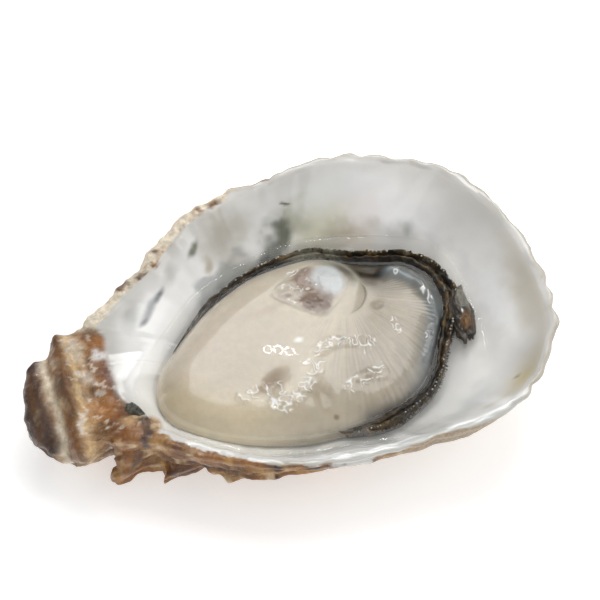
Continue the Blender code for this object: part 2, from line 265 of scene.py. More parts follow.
def section_at(angles):
    """The measures of the shell's section along each ray, by name."""
    rim, height, edge, lip = rim_at(angles)
    water = waterline_at(angles)[0]
    hollow = rim - lip
    hollow_height = np.maximum(height - LIP_DROP, HINGE_PLATE_HEIGHT)
    climb = (hollow_height - WATER_HEIGHT) / (hollow - water)
    depth = WATER_HEIGHT - FLOOR_HEIGHT
    power = np.clip(2.5 * climb * water / depth, LEAST_POWER, WALL_POWER)
    return dict(
        rim=rim,
        height=height,
        edge=edge,
        lip=lip,
        water=water,
        hollow=hollow,
        hollow_height=hollow_height,
        climb=climb,
        power=power,
    )


def inside_height(s, radius):
    """Height of the hollow's surface: a power curve to the waterline, then a flaring wall."""
    depth = WATER_HEIGHT - FLOOR_HEIGHT
    bowl = FLOOR_HEIGHT + depth * (np.minimum(radius / s["water"], 1)) ** s["power"]
    span = s["hollow"] - s["water"]
    t = np.clip((radius - s["water"]) / span, 0, 1)
    start = np.minimum(depth * s["power"] / s["water"], 3 * s["climb"]) * span
    end = 0.7 * s["climb"] * span
    rise = s["hollow_height"] - WATER_HEIGHT
    wall = (t**3 - 2 * t**2 + t) * start + (3 * t**2 - 2 * t**3) * rise
    wall = wall + (t**3 - t**2) * end
    return np.where(radius < s["water"], bowl, WATER_HEIGHT + wall)


def lip_height(s, t):
    """Height of the lip, from the hollow's edge (t = 0) to the rim (t = 1)."""
    crown = LIP_CROWN + HINGE_CROWN * np.clip(s["lip"] / HINGE_LIP - 0.15, 0, 1)
    straight = s["hollow_height"] + (s["height"] - s["hollow_height"]) * t
    rounding = np.minimum(EDGE_ROUNDING, s["edge"] / 2)
    near = np.clip(1 - (1 - t) * s["lip"] / rounding, 0, 1)
    drop = rounding * (1 - np.sqrt(1 - near**2))
    return straight + crown * 4 * t * (1 - t) * (0.6 + 0.8 * t) - drop * ROUNDING_SHARE


def shell_top(x, y):
    """Height of the shell's upper surface at (x, y)."""
    angle, radius = polar(x, y)
    s = section_at(angle)
    t = np.clip((radius - s["hollow"]) / s["lip"], 0, 1)
    return np.where(radius < s["hollow"], inside_height(s, radius), lip_height(s, t))


def rest_radius(angles):
    """Radius from the origin to the edge of the worn flat, an ellipse off the origin."""
    cosine, sine = np.cos(angles), np.sin(angles)
    (cx, cy), (a, b) = REST_CENTRE, REST_HALF
    square = (cosine / a) ** 2 + (sine / b) ** 2
    middle = cosine * cx / a**2 + sine * cy / b**2
    short = (cx / a) ** 2 + (cy / b) ** 2 - 1
    return (middle + np.sqrt(middle**2 - square * short)) / square


def knob_reach(knobs, angles, height):
    """How far the knobs push the wall out, at each direction and height."""
    reach = np.zeros_like(angles + height)
    for direction, middle, size, half_angle, half_height in knobs:
        across = (np.degrees(angles) - direction + 180) % 360 - 180
        away = (across / half_angle) ** 2 + ((height - middle) / half_height) ** 2
        reach += size * np.exp(-away)
    return reach


HOLLOW_END, LIP_END, EDGE_END, WALL_END, FLAT_END = 1.0, 2.0, 2.25, 3.0, 3.2


def shell_section(angles, q):
    """Points of the shell along each ray. q runs from the floor (0) over the hollow's edge (1),
    the rim (2) and the edge's foot (2.25) to the worn flat (3) and across it (3.2)."""
    s = section_at(angles)
    hollow_radius = s["hollow"] * np.clip(q, 0, 1)
    t = np.clip(q - HOLLOW_END, 0, 1)
    lip_radius = s["hollow"] + s["lip"] * t
    fall = np.clip((q - LIP_END) / (EDGE_END - LIP_END), 0, 1)
    rounding = ROUNDING_SHARE * np.minimum(EDGE_ROUNDING, s["edge"] / 2)
    edge_radius = s["rim"] - EDGE_LEAN * s["edge"] * fall
    edge_height = s["height"] - rounding - (s["edge"] - rounding) * fall
    share = np.clip((WALL_END - q) / (WALL_END - EDGE_END), 0, 1) ** 1.4
    low_radius = s["rim"] - EDGE_LEAN * s["edge"]
    rest = rest_radius(angles)
    wall_height = (s["height"] - s["edge"]) * share
    wall_radius = rest + (low_radius - rest) * share**BELLY_POWER
    inward = np.clip((q - WALL_END) / (FLAT_END - WALL_END), 0, 1)
    radius = np.select(
        [q <= HOLLOW_END, q <= LIP_END, q <= EDGE_END, q <= WALL_END],
        [hollow_radius, lip_radius, edge_radius, wall_radius],
        rest * (1 - 0.85 * inward),
    )
    height = np.select(
        [q <= HOLLOW_END, q <= LIP_END, q <= EDGE_END, q <= WALL_END],
        [inside_height(s, hollow_radius), lip_height(s, t), edge_height, wall_height],
        0.0,
    )
    knobs = knob_reach(KNOBS, angles, height) * smooth(LIP_END, EDGE_END, q)
    knobs = knobs + knob_reach(FINE_KNOBS, angles, height) * smooth(1.6, LIP_END, q)
    return radius + knobs * (q < WALL_END), height


def even_section_steps(angles):
    """For each ray, q values that put the section's points at even distances."""
    stretches = ((0, HOLLOW_END, 60), (HOLLOW_END, EDGE_END, 90), (EDGE_END, FLAT_END, 70))
    q = np.unique(np.concatenate([np.linspace(*stretch) for stretch in stretches]))
    q = np.repeat(q[:, None], len(angles), 1)
    radius, height = shell_section(angles, q)
    step = np.hypot(np.diff(radius, axis=0), np.diff(height, axis=0))
    hidden = (q[1:] < 0.5) | (q[1:] > WALL_END - 0.1)
    step = step * np.where(hidden, 0.35, 1.0)
    along = np.vstack((np.zeros(len(angles)), np.cumsum(step, axis=0)))
    wanted = np.linspace(0.02, 1, SECTION_POINTS)
    return np.column_stack(
        [np.interp(wanted * along[-1, i], along[:, i], q[:, i]) for i in range(len(angles))]
    )


def lay_patches(colour, patches, x, y, share=1.0):
    """The colour with each patch of a table over it, as a turned ellipse with a soft edge."""
    for centre, half, turn, patch, amount, soft in patches:
        colour = mix(colour, linear(*patch), share * amount * spot(x, y, centre, half, turn, soft))
    return colour


def lay_mottle(colour, layers, x, y, z):
    """The colour with each noise layer of a table over it."""
    for shade, amount, rise, *grain in layers:
        colour = mix(colour, linear(*shade), amount * smooth(*rise, noise(x, y, z, *grain)))
    return colour


def grid_normals(points):
    """Unit normals of a grid of points, closed across its columns."""
    down = np.gradient(points, axis=0)
    around = np.roll(points, -1, axis=1) - np.roll(points, 1, axis=1)
    normal = np.cross(around, down)
    return normal / np.maximum(np.linalg.norm(normal, axis=2, keepdims=True), 1e-9)


def ring_faces(rings, columns, closed=False):
    """Quads between neighbouring rings of points, as an array of corner numbers."""
    ring = np.arange(rings if closed else rings - 1)[:, None]
    column = np.arange(columns)[None, :]
    here, there = ring * columns, (ring + 1) % rings * columns
    following = (column + 1) % columns
    quads = np.stack((here + column, here + following, there + following, there + column), -1)
    return quads.reshape(-1, 4)


def make_mesh(name, points, faces, turn_over=False):
    """A smooth-shaded object from design millimetres."""
    mesh = bpy.data.meshes.new(name)
    faces = [tuple(face) for face in faces]
    if turn_over:
        faces = [face[::-1] for face in faces]
    mesh.from_pydata((np.asarray(points) * UNIT).tolist(), [], faces)
    mesh.validate()
    mesh.shade_smooth()
    obj = bpy.data.objects.new(name, mesh)
    bpy.context.scene.collection.objects.link(obj)
    return obj


def capped_grid(name, grid, first, last, turn_over=False):
    """A closed object from rings of points and a point that closes each end."""
    rings, columns = grid.shape[:2]
    points = np.vstack((grid.reshape(-1, 3), [first], [last]))
    faces = [tuple(face) for face in ring_faces(rings, columns)]
    start, end, last_ring = len(points) - 2, len(points) - 1, (rings - 1) * columns
    for column in range(columns):
        following = (column + 1) % columns
        faces.append((start, following, column))
        faces.append((end, last_ring + column, last_ring + following))
    return make_mesh(name, points, faces, turn_over)


def paint(obj, name, colours):
    """Stores a linear colour, and a spare value as alpha, at each point of a mesh."""
    values = np.ones((len(obj.data.vertices), 4), np.float32)
    values[: len(colours), : colours.shape[1]] = colours
    attribute = obj.data.color_attributes.new(name, "FLOAT_COLOR", "POINT")
    attribute.data.foreach_set("color", values.ravel())


def linear(r, g, b):
    """A colour given as 0 to 255 display values, made linear."""
    value = np.array((r, g, b), float) / 255
    return np.where(value <= 0.04045, value / 12.92, ((value + 0.055) / 1.055) ** 2.4)


def mix(base, colour, amount):
    """The base colour with a share of another over it."""
    amount = np.asarray(amount)[..., None]
    return base * (1 - amount) + np.asarray(colour) * amount


# ---------------------------------------------------------------- the shell


def shell_columns():
    """Directions of the shell's rays, closer together round the rough hinge end and low side."""
    parts = []
    stations = np.asarray(RIM, float)
    before, after, beyond = (np.roll(stations, shift, 0) for shift in (1, -1, -2))
    for i in range(len(stations)):
        count = FINE_COLUMNS if i in FINE_STATIONS else COARSE_COLUMNS
        t = np.arange(count) / count
        one = slice(i, i + 1)
        parts.append(spline_points(stations[one], before[one], after[one], beyond[one], t)[0])
    points = np.vstack(parts)
    return polar(points[:, 0], points[:, 1])[0]


CREST = 51.2  # the crest of the hinge plate is this far left of the origin


def growth_steps(distance, wander, pitch):
    """A saw-tooth across the growth layers: each plate rises, then breaks off at its edge."""
    phase = (distance / pitch + wander) % 1.0
    return phase**1.5 * (1 - smooth(0.78, 1.0, phase))


def ruffled_rim(x, y, z, q, angles, degrees, hinge):
    """The rim's points, moved by scallops that fade into the hollow."""
    ragged = smooth(0.75, 1.6, q) * (1 - smooth(2.3, 2.8, q)) * (1 - hinge)
    far_left = rough_far_left(degrees)
    lobes = np.abs(np.sin(np.radians(degrees) * 24 + 2.2 * noise(0.08 * degrees, 0 * q, 0 * q, 1.0, 23)))
    uneven = 0.6 + 0.5 * noise(0.05 * degrees, 0 * q, 0 * q, 1.0, 24)
    frilly = (1 - far_left) * smooth(-62, -30, degrees) * uneven
    scallop = 0.8 * plan_noise(x, y, 7.5, 21, 2) + (0.2 + 0.3 * far_left) * plan_noise(x, y, 2.6, 22, 2)
    scallop = scallop + (1.25 * lobes - 0.8) * frilly
    x = x + np.cos(angles) * ragged * scallop * (0.9 + 0.7 * far_left)
    y = y + np.sin(angles) * ragged * scallop * (0.9 + 0.7 * far_left)
    return x, y, z + ragged * plan_noise(x, y, 9.0, 31, 2) * 0.7


def rough_far_left(degrees):
    """1 along the rough far side next to the hinge, 0 elsewhere."""
    return smooth(92, 118, degrees) * (1 - smooth(165, 178, degrees))


def rim_relief(x, y, z, q, degrees, hinge):
    """Roughness of the lip, and the flutes that run down from it into the hollow."""
    lip_zone = smooth(1.0, 1.3, q) * (1 - smooth(2.1, 2.3, q)) * (1 - hinge)
    lip = lip_zone * (0.28 + 0.5 * rough_far_left(degrees)) * noise(x, y, z, 2.2, 35, 3)
    flutes = noise(0.75 * degrees, 2.0 * q, 0 * q, 6.5, 37, 2)
    return lip, smooth(0.6, 1.0, q) * (1 - smooth(1.2, 1.8, q)) * 0.5 * flutes


def plate_relief(x, y, z, q, from_rim, hinge, rough):
    """The plate behind the hollow: a crest near its end, a valley, and eroded ridges."""
    plate = hinge * smooth(0.98, 1.1, q) * (1 - smooth(2.0, 2.2, q))
    band = x + CREST + 0.8 * noise(x, y, z, 6.0, 43, 2)
    crest = hill(band, 0, 1.7) - 0.9 * hill(band, 4.0, 1.6)
    crest = crest + 0.6 * hill(band, 8.6, 2.2) - 0.6 * hill(band, -4.6, 1.8)
    arcs = growth_steps(from_rim, 0.5 * noise(x, y, z, 9.0, 41, 2), 3.6)
    return plate * (1.6 * crest + 0.5 * (arcs - 0.3) + 1.1 * rough + 0.35 * noise(x, y, z, 1.3, 55, 2))


def outside_relief(x, y, z, q, degrees, lowside, plates, rough):
    """Growth plates parallel to the rim, ribs across them, and lumps near the hinge and low side."""
    wall = smooth(2.0, 2.12, q) * (1 - smooth(2.9, 3.0, q))
    ribs = noise(degrees * 0.9, 0 * q, 0.12 * z, 7.0, 71, 2)
    lumps = noise(x, y, z, 8.0, 81, 3)
    layers = wall * (0.9 * plates * (0.55 + 0.8 * lowside) + 0.7 * ribs * (1 - lowside))
    return layers, wall * lowside * (1.3 * lumps + 0.6 * rough)


def shell_grid():
    """The shell's points, rows of them along each ray, and what the tint has to know of each."""
    angles = shell_columns()
    q = even_section_steps(angles)
    radius, height = shell_section(angles, q)
    x, y, z = radius * np.cos(angles), radius * np.sin(angles), height
    normal = grid_normals(np.stack((x, y, z), -1))
    s = section_at(angles)
    degrees = np.degrees(angles) + 0 * q
    hinge = smooth(4.0, 12.0, s["lip"]) * np.ones_like(q)
    lowside = smooth(2.5, 8.0, s["edge"]) * np.ones_like(q)
    porcelain = (1 - smooth(0.95, 1.1, q)) * 0.22 * noise(x, y, z, 14.0, 11, 2)
    x, y, z = ruffled_rim(x, y, z, q, angles, degrees, hinge)
    wander = 0.55 * noise(x, y, z, 16.0, 61, 2) + 0.15 * noise(x, y, z, 4.0, 62, 2)
    plates = growth_steps(s["height"] - z, wander, 3.4)
    rough = noise(x, y, z, 4.0, 51, 4)
    relief = (
        porcelain,
        *rim_relief(x, y, z, q, degrees, hinge),
        plate_relief(x, y, z, q, s["rim"] - radius, hinge, rough),
        *outside_relief(x, y, z, q, degrees, lowside, plates, rough),
    )
    x, y, z = (v + normal[..., i] * sum(relief) for i, v in enumerate((x, y, z)))
    z = np.where(q >= WALL_END, 0.0, np.maximum(z, 0.0))
    return np.stack((x, y, z), -1), dict(q=q, degrees=degrees, hinge=hinge, plates=plates)


NACRE = linear(246, 245, 242)
MOST_PATCH_SWAY = 2.0
STAINS_AND_SHADE = (
    # centre, half sizes, turn, colour, amount, softness
    ((-27.0, 10.2), (3.2, 0.75), 50, (150, 153, 155), 0.9, 0.7),
    ((-24.2, 13.0), (1.8, 0.6), 48, (110, 114, 120), 0.9, 0.6),
    ((-28.6, 7.8), (1.2, 0.5), 40, (120, 122, 125), 0.7, 0.8),
    ((-30.6, 9.6), (3.2, 1.2), 58, (190, 190, 186), 0.8, 0.9),
    ((-20.5, 17.0), (2.6, 1.2), 45, (206, 205, 200), 0.8, 0.8),
    ((-14.2, 21.8), (2.1, 0.8), 58, (120, 122, 106), 0.95, 0.5),
    ((-12.0, 19.6), (1.4, 0.9), 60, (196, 186, 166), 0.8, 0.7),
    ((-6.0, 23.6), (5.6, 3.0), 15, (196, 192, 182), 0.8, 0.8),
    ((-5.4, 18.0), (5.0, 2.8), 25, (156, 158, 152), 0.85, 0.35),
    ((-12.4, 15.0), (4.2, 2.4), 35, (180, 182, 181), 0.85, 0.35),
    ((-17.4, 12.6), (2.4, 2.4), 40, (240, 240, 238), 0.8, 0.6),
    ((6.6, 24.2), (2.3, 2.6), -20, (112, 115, 98), 0.95, 0.6),
    ((3.6, 21.6), (2.4, 2.4), -30, (92, 95, 80), 0.9, 0.7),
    ((1.6, 19.6), (3.4, 1.8), 10, (76, 78, 68), 0.9, 0.6),
    ((7.8, 28.5), (0.5, 0.3), 0, (80, 82, 70), 0.95, 0.3),
    ((9.2, 28.4), (0.4, 0.25), 0, (110, 112, 98), 0.9, 0.3),
    ((10.0, 29.0), (13.0, 4.6), 0, (224, 224, 220), 0.8, 0.9),
    ((-8.0, 25.0), (5.0, 4.0), 30, (214, 211, 202), 0.8, 0.9),
    ((22.0, 31.0), (9.0, 3.0), -8, (230, 230, 228), 0.8, 0.9),
    ((9.8, 26.2), (2.8, 2.6), 0, (186, 186, 168), 0.8, 0.9),
    ((15.0, 23.8), (6.0, 3.6), 0, (202, 198, 168), 0.85, 0.9),
    ((21.5, 21.0), (5.5, 2.6), -14, (168, 155, 132), 0.85, 0.8),
    ((12.0, 20.6), (4.0, 1.2), 0, (150, 146, 124), 0.7, 0.9),
    ((32.5, 17.4), (5.0, 2.6), -24, (176, 174, 168), 0.8, 0.9),
    ((35.0, 18.8), (1.4, 0.9), 30, (140, 146, 140), 0.6, 0.9),
    ((26.0, 24.4), (4.2, 3.4), 0, (232, 224, 220), 0.6, 0.9),
    ((28.0, 28.6), (4.0, 3.4), -10, (250, 250, 249), 0.8, 0.9),
    ((33.0, 21.6), (4.0, 3.0), -20, (250, 250, 250), 0.8, 0.9),
    ((38.0, 10.5), (2.6, 5.0), -24, (208, 207, 204), 0.7, 0.9),
    ((39.5, 17.8), (2.8, 2.8), -20, (250, 250, 250), 0.8, 0.9),
    ((43.0, 4.0), (1.8, 10.0), 8, (224, 223, 221), 0.6, 0.9),
    ((47.5, -4.0), (2.2, 6.0), 0, (248, 248, 248), 0.7, 0.9),
    ((44.0, -12.0), (2.4, 6.0), -10, (214, 212, 208), 0.7, 0.9),
    ((54.5, -7.0), (3.4, 12.0), 2, (204, 196, 180), 0.8, 0.9),
    ((50.0, -22.0), (5.0, 6.0), 0, (216, 214, 210), 0.8, 0.9),
    ((36.0, 9.0), (2.0, 5.0), -30, (196, 194, 190), 0.6, 0.9),
    ((49.0, -27.0), (7.0, 3.4), 38, (228, 214, 172), 0.95, 0.9),
    # painted shadow: the grey band on the hollow's floor just below the body
    ((10.0, -30.4), (16.0, 2.0), 0, (186, 187, 182), 0.85, 0.9),
    ((36.0, -27.5), (7.0, 2.4), 30, (206, 207, 205), 0.8, 0.9),
    ((45.9, -25.6), (0.7, 0.3), 30, (150, 145, 125), 0.8, 0.6),
    ((39.5, -30.5), (2.4, 0.5), 12, (206, 190, 156), 0.9, 0.8),
)
TAN = linear(146, 97, 46)
# Noise over the tan: colour, amount, ends of the rise, size, seed, octaves
BROWN_MOTTLE = (
    ((184, 142, 84), 1.0, (-0.1, 0.6), 5.0, 141, 3),
    ((106, 65, 27), 1.0, (0.0, 0.5), 6.5, 151, 3),
    ((56, 30, 12), 1.0, (0.1, 0.5), 4.0, 161, 4),
    ((216, 194, 156), 0.7, (0.2, 0.5), 3.0, 171, 3),
)
# Bands across the hinge plate, by distance from its crest toward the hollow
HINGE_BANDS = (
    (-6.4, 2.8, (54, 32, 14), 0.9),
    (-3.0, 1.4, (62, 36, 16), 0.92),
    (0.1, 1.2, (240, 226, 200), 0.9),
    (3.4, 1.8, (118, 78, 38), 0.8),
    (5.8, 1.3, (228, 196, 146), 0.75),
    (8.0, 1.0, (196, 158, 112), 0.6),
    (10.4, 1.2, (158, 108, 52), 0.6),
    (12.8, 1.5, (140, 84, 38), 0.75),
)
HINGE_PATCHES = (
    ((-39.2, 2.6), (1.6, 1.3), 10, (236, 234, 232), 0.9, 0.5),
    ((-38.4, 5.6), (1.8, 1.6), 30, (180, 122, 66), 0.7, 0.8),
    ((-37.6, -3.4), (1.5, 3.8), 12, (104, 62, 40), 0.85, 0.8),
    ((-36.0, -9.6), (1.8, 2.6), 20, (72, 50, 36), 0.8, 0.8),
    ((-41.0, -10.0), (3.2, 2.0), 0, (190, 134, 78), 0.7, 0.9),
    ((-44.5, 4.0), (1.6, 2.6), 0, (222, 208, 186), 0.8, 0.7),
    ((-43.0, -2.6), (1.2, 1.8), 10, (226, 214, 196), 0.7, 0.7),
    ((-33.0, -17.4), (2.4, 1.8), -30, (146, 100, 56), 0.8, 0.8),
    ((-42.0, -15.6), (3.0, 1.6), 0, (120, 84, 48), 0.7, 0.9),
    ((-36.5, -15.0), (2.0, 1.2), -20, (196, 160, 116), 0.7, 0.8),
)


def painted_lip_glints(q, degrees, near_lip):
    """Painted highlights: near-white glint streaks that run along the near lip."""
    track = 1.15 + 0.4 * noise(0.14 * degrees, 0 * q, 0 * q, 1.0, 125, 2)
    streak = hill(q, track, 0.13) + np.exp(-(((q - track - 0.36) / 0.07) ** 2))
    streak = streak * near_lip * smooth(-0.3, 0.0, noise(0.2 * degrees, 2 * q, 0 * q, 1.0, 127, 2))
    return np.clip(streak, 0, 1)


def porcelain_tint(x, y, z, zones, fine, sway):
    """Colour of the smooth inside: nearly white, shaded at the hollow's edge, and stained, with a painted
    shadow band below the body and painted highlight streaks along the near lip.
    """
    q, degrees = zones["q"], zones["degrees"]
    cloud = noise(x, y, z, 18.0, 121, 2)
    drift = noise(x, y, z, 6.0, 123, 2)
    colour = np.ones(q.shape + (3,)) * NACRE
    colour = colour * (1 - 0.05 * cloud - 0.07 * drift - 0.012 * fine)[..., None]
    edge_shade = smooth(0.86, 1.0, q) * (0.6 + 0.4 * cloud)
    colour = mix(colour, linear(184, 180, 171), 0.85 * edge_shade)
    rim_line = smooth(1.45, 1.8, q + 0.2 * fine) * (q < EDGE_END)
    colour = mix(colour, linear(168, 156, 134), 0.7 * rim_line)
    inside = 1 - smooth(0.97, 1.03, q)
    for centre, half, turn, stain_and_shade, amount, soft in STAINS_AND_SHADE:
        reach = min(half[1], MOST_PATCH_SWAY)
        mask = spot(x + reach * sway[0], y + reach * sway[1], centre, half, turn, soft) * inside * amount
        colour = mix(colour, linear(*stain_and_shade) / NACRE * colour, mask)
    near_lip = smooth(-100, -86, degrees) * (1 - smooth(-38, -30, degrees))
    colour = mix(colour, linear(206, 207, 203), 0.8 * near_lip * smooth(0.9, 1.05, q))
    # painted highlight: near-white glint streaks along the near lip
    return mix(colour, linear(255, 255, 254), painted_lip_glints(q, degrees, near_lip))


def bill_share(degrees):
    """1 round the thin bill end, 0 toward the hinge."""
    return np.where(degrees > 0, 1 - smooth(70, 105, degrees), 1 - smooth(50, 80, -degrees))


def brown_share(x, y, zones, patch, fine):
    """1 on the brown layers: from the hollow's edge at the hinge, from outside the rim elsewhere."""
    degrees, hinge = zones["degrees"], zones["hinge"]
    far_left, near_left = smooth(80, 104, degrees), smooth(80, 130, -degrees)
    start = 2.0 - 0.85 * far_left - 0.55 * near_left + 0.12 * bill_share(degrees)
    start = start + 0.14 * hill(degrees, -80, 9) - 0.5 * hill(degrees, -52, 8)
    start = start - 0.32 * hill(degrees, 82, 6)
    start = start - (start - 1.02) * hinge
    start = start + (0.22 * patch + 0.14 * fine) * (1 - hinge) + 0.05 * hinge * patch
    brown = smooth(-0.03, 0.06, zones["q"] - start)
    return np.maximum(brown, spot(x, y, (-32.6, -17.2), (2.4, 3.6), -35, 0.25))


def layered_tint(x, y, z, zones, patch, fine, wobble):
    """Colour of the layered shell: mottled browns, bands on the hinge plate, paler at the bill, with
    painted shade in the crevices between growth plates.
    """
    q, degrees, hinge = zones["q"], zones["degrees"], zones["hinge"]
    colour = lay_mottle(TAN * np.ones(q.shape + (3,)), BROWN_MOTTLE, x, y, z)
    band = x + CREST + 1.2 * noise(x, y, z, 5.0, 181, 3)
    for place, width, shade, amount in HINGE_BANDS:
        colour = mix(colour, linear(*shade), amount * hinge * hill(band, place, width))
    colour = lay_patches(colour, HINGE_PATCHES, *wobble, hinge)
    flecks = smooth(80, 104, degrees) * (1 - hinge) * (1 - 0.75 * smooth(2.2, 2.5, q))
    colour = mix(colour, linear(236, 224, 202), 0.95 * flecks * smooth(-0.6, -0.1, patch + 0.6 * fine))
    dark = smooth(0.3, 0.55, noise(x, y, z, 3.4, 191, 3))
    colour = mix(colour, linear(96, 62, 32), 0.9 * flecks * dark)
    pale = bill_share(degrees) * (1 - 0.55 * smooth(2.2, 2.9, q))
    colour = mix(colour, linear(180, 168, 146), 0.75 * pale)
    spots = smooth(0.25, 0.42, noise(x, y, z, 1.7, 197, 3)) * hinge * smooth(-3.0, 2.0, band)
    colour = mix(colour, linear(228, 218, 204), 0.7 * spots)
    # painted shade: darker in the crevices between the growth plates
    crevice = smooth(0.55, 1.0, zones["plates"]) * smooth(2.1, 2.3, q)
    speckle = 1 + 0.22 * noise(x, y, z, 0.9, 195, 2)
    return np.clip(colour * (1 - 0.25 * crevice[..., None]) * speckle[..., None], 0.01, 0.9)


def shell_tint(points, zones):
    """Colour of the shell at each point; alpha is 1 on wet porcelain and 0 on layered shell."""
    x, y, z = (points[..., i] for i in range(3))
    patch = noise(x, y, z, 7.0, 101, 3)
    fine = noise(x, y, z, 1.6, 111, 3)
    sway = [noise(x, y, z, 3.6, seed, 3) for seed in (131, 132)]
    wobble = (x + 0.9 * sway[0], y + 0.9 * sway[1])
    colour = porcelain_tint(x, y, z, zones, fine, sway)
    brown = brown_share(*wobble, zones, patch, fine)
    colour = mix(colour, layered_tint(x, y, z, zones, patch, fine, wobble), brown)
    return np.concatenate((colour, (1 - brown)[..., None]), -1)


def make_shell():
    """The valve, one closed mesh."""
    grid, zones = shell_grid()
    shell = capped_grid("shell", grid, (0, 0, FLOOR_HEIGHT), (*REST_CENTRE, 0))
    paint(shell, "tint", shell_tint(grid, zones).reshape(-1, 4))
    return shell


# ---------------------------------------------------------------- the soft body's form

BODY_EDGE_HEIGHT = 15.0
BODY_FOOT_HEIGHT = 9.0
BELLY_RISE, GILL_RISE = 3.5, 3.1
GILL_FOCUS = (16.0, 5.0)
GILL_FAN = (-142.0, 66.0)
GILL_FILAMENTS = 130  # for each radian
GILL_RAYS, GILL_RINGS = 450, 110
GILL_START, GILL_DEPTH = 4.0, 2.5
SUNK = 0.5  # how far one soft piece dips under its neighbour where they blend
MUSCLE = (
    (-0.4, 8.3), (4.0, 12.3), (8.2, 14.4), (13.3, 14.9), (17.0, 12.6), (18.2, 9.0), (17.0, 5.5),
    (13.4, 1.9), (9.6, -0.2), (4.6, 3.2),
)
MUSCLE_CENTRE = (10.5, 8.6)
FOLD_PATH = ((14.6, 16.6), (18.0, 13.8), (19.6, 10.6), (19.6, 6.6), (17.8, 3.6))
PALE_FOLD = ((27.2, 8.3), (30.0, 6.6), (32.9, 2.9), (34.4, -2.4), (33.2, -8.6), (29.6, -15.4))
WRINKLES = (
    ((-3.5, -20.2), (0.5, -17.6), (3.9, -14.4), (6.4, -10.6), (8.4, -7.5), (12.8, -7.2), (18.1, -8.3)),
    ((11.2, -18.6), (14.6, -16.9), (18.4, -16.0)),
    ((-11.4, -15.7), (-7.6, -15.2), (-3.7, -15.6)),
    ((-5.2, -19.0), (-4.4, -17.4), (-3.6, -15.2)),
)
# Short paths where the painted glint lines run
GLINT_PATHS = (
    ((28.9, 9.0), (28.3, 6.4)),
    ((32.8, 3.3), (34.0, -1.5)),
    ((31.4, -9.0), (31.0, -11.4)),
    ((3.4, 9.6), (6.6, 8.2)),
    ((5.6, 13.0), (8.8, 13.6)),
    ((24.6, -4.0), (25.0, -7.0)),
)

# Rises and hollows of the flesh: height, centre, half sizes, turn
BODY_BUMPS = (
    (0.15, (-8.0, -4.0), (12.0, 9.0), 25),
    (1.1, (-1.8, -6.5), (14.0, 18.0), 0),
    (-0.9, (-4.6, -14.6), (3.6, 1.7), 35),
    (-0.5, (-27.6, -9.1), (3.0, 1.0), 10),
    (-1.5, (21.8, 10.9), (4.8, 2.8), -24),
    (-0.9, (25.0, 9.0), (2.4, 1.8), -35),
    (-0.45, (22.2, 0.3), (1.3, 1.1), 0),
    (0.2, (22.2, 0.3), (2.8, 2.4), 0),
    (-0.5, (5.0, -19.6), (2.4, 3.4), 10),
)
MUSCLE_BUMPS = (
    (0.3, (13.8, 9.8), (3.6, 3.6), 0),
    (-0.45, (8.4, 8.4), (2.4, 3.0), 20),
    (0.3, (4.4, 8.0), (2.2, 1.2), 15),
)

body_edge = radius_reader(closed_spline(BODY, 24) - BODY_CENTRE)
muscle_edge = radius_reader(closed_spline(MUSCLE, 24) - MUSCLE_CENTRE)


def path_distance(x, y, stations, per_span=12):
    """Distance from each point to a path, and how far along the path its nearest point is (0 to 1)."""
    path = open_spline(stations, per_span)
    shape = np.shape(x)
    flat_x, flat_y = np.ravel(x), np.ravel(y)
    best = np.full(flat_x.shape, np.inf)
    along = np.zeros(flat_x.shape)
    for i, (px, py) in enumerate(path):
        away = np.hypot(flat_x - px, flat_y - py)
        closer = away < best
        best = np.where(closer, away, best)
        along = np.where(closer, i / (len(path) - 1), along)
    return best.reshape(shape), along.reshape(shape)


def from_centre(reader, centre, x, y):
    """Radius of the outline in the direction of each point, and the point's own radius."""
    angle, radius = polar(x - centre[0], y - centre[1])
    return reader(angle)[0], radius


def past_seam(x, y):
    """Distance past the line between belly and gills: positive on the gills."""
    return x - 15.8 - 0.5 * y


def gill_share(x, y):
    """0 on the belly, 1 on the gills, and a wide blend between them."""
    return smooth(-5.0, 7.0, past_seam(x, y))


def muscle_share(x, y):
    """1 well inside the muscle's outline, 0 past it."""
    edge, radius = from_centre(muscle_edge, MUSCLE_CENTRE, x, y)
    return 1 - smooth(0.7, 1.06, radius / edge)


def wrinkle_mask(x, y):
    """1 along the wet folds, 0 away from them."""
    mask = np.zeros(np.shape(x))
    for stations in WRINKLES:
        away, _ = path_distance(x, y, stations, 6)
        mask = np.maximum(mask, hill(away, 0, 1.7))
    return mask


def glint_lines(x, y):
    """Fine looping ridges along the wet folds, as a share from 0 to 1; the flesh and muscle paint them near
    white as painted highlights for lamp glints.
    """
    mask = wrinkle_mask(x, y)
    for stations in GLINT_PATHS:
        away, _ = path_distance(x, y, stations, 6)
        mask = np.maximum(mask, hill(away, 0, 0.9))
    field = plan_noise(x, y, 2.2, 205, 2)
    lines = hill(field, 0.2, 0.055) + hill(field, -0.22, 0.055)
    return np.clip(lines, 0, 1) * smooth(0.3, 0.6, mask)


def with_bumps(z, bumps, x, y):
    """The heights with each rise or hollow of a table added."""
    for height, centre, half, turn in bumps:
        z = z + height * bump(x, y, centre, half, turn)
    return z


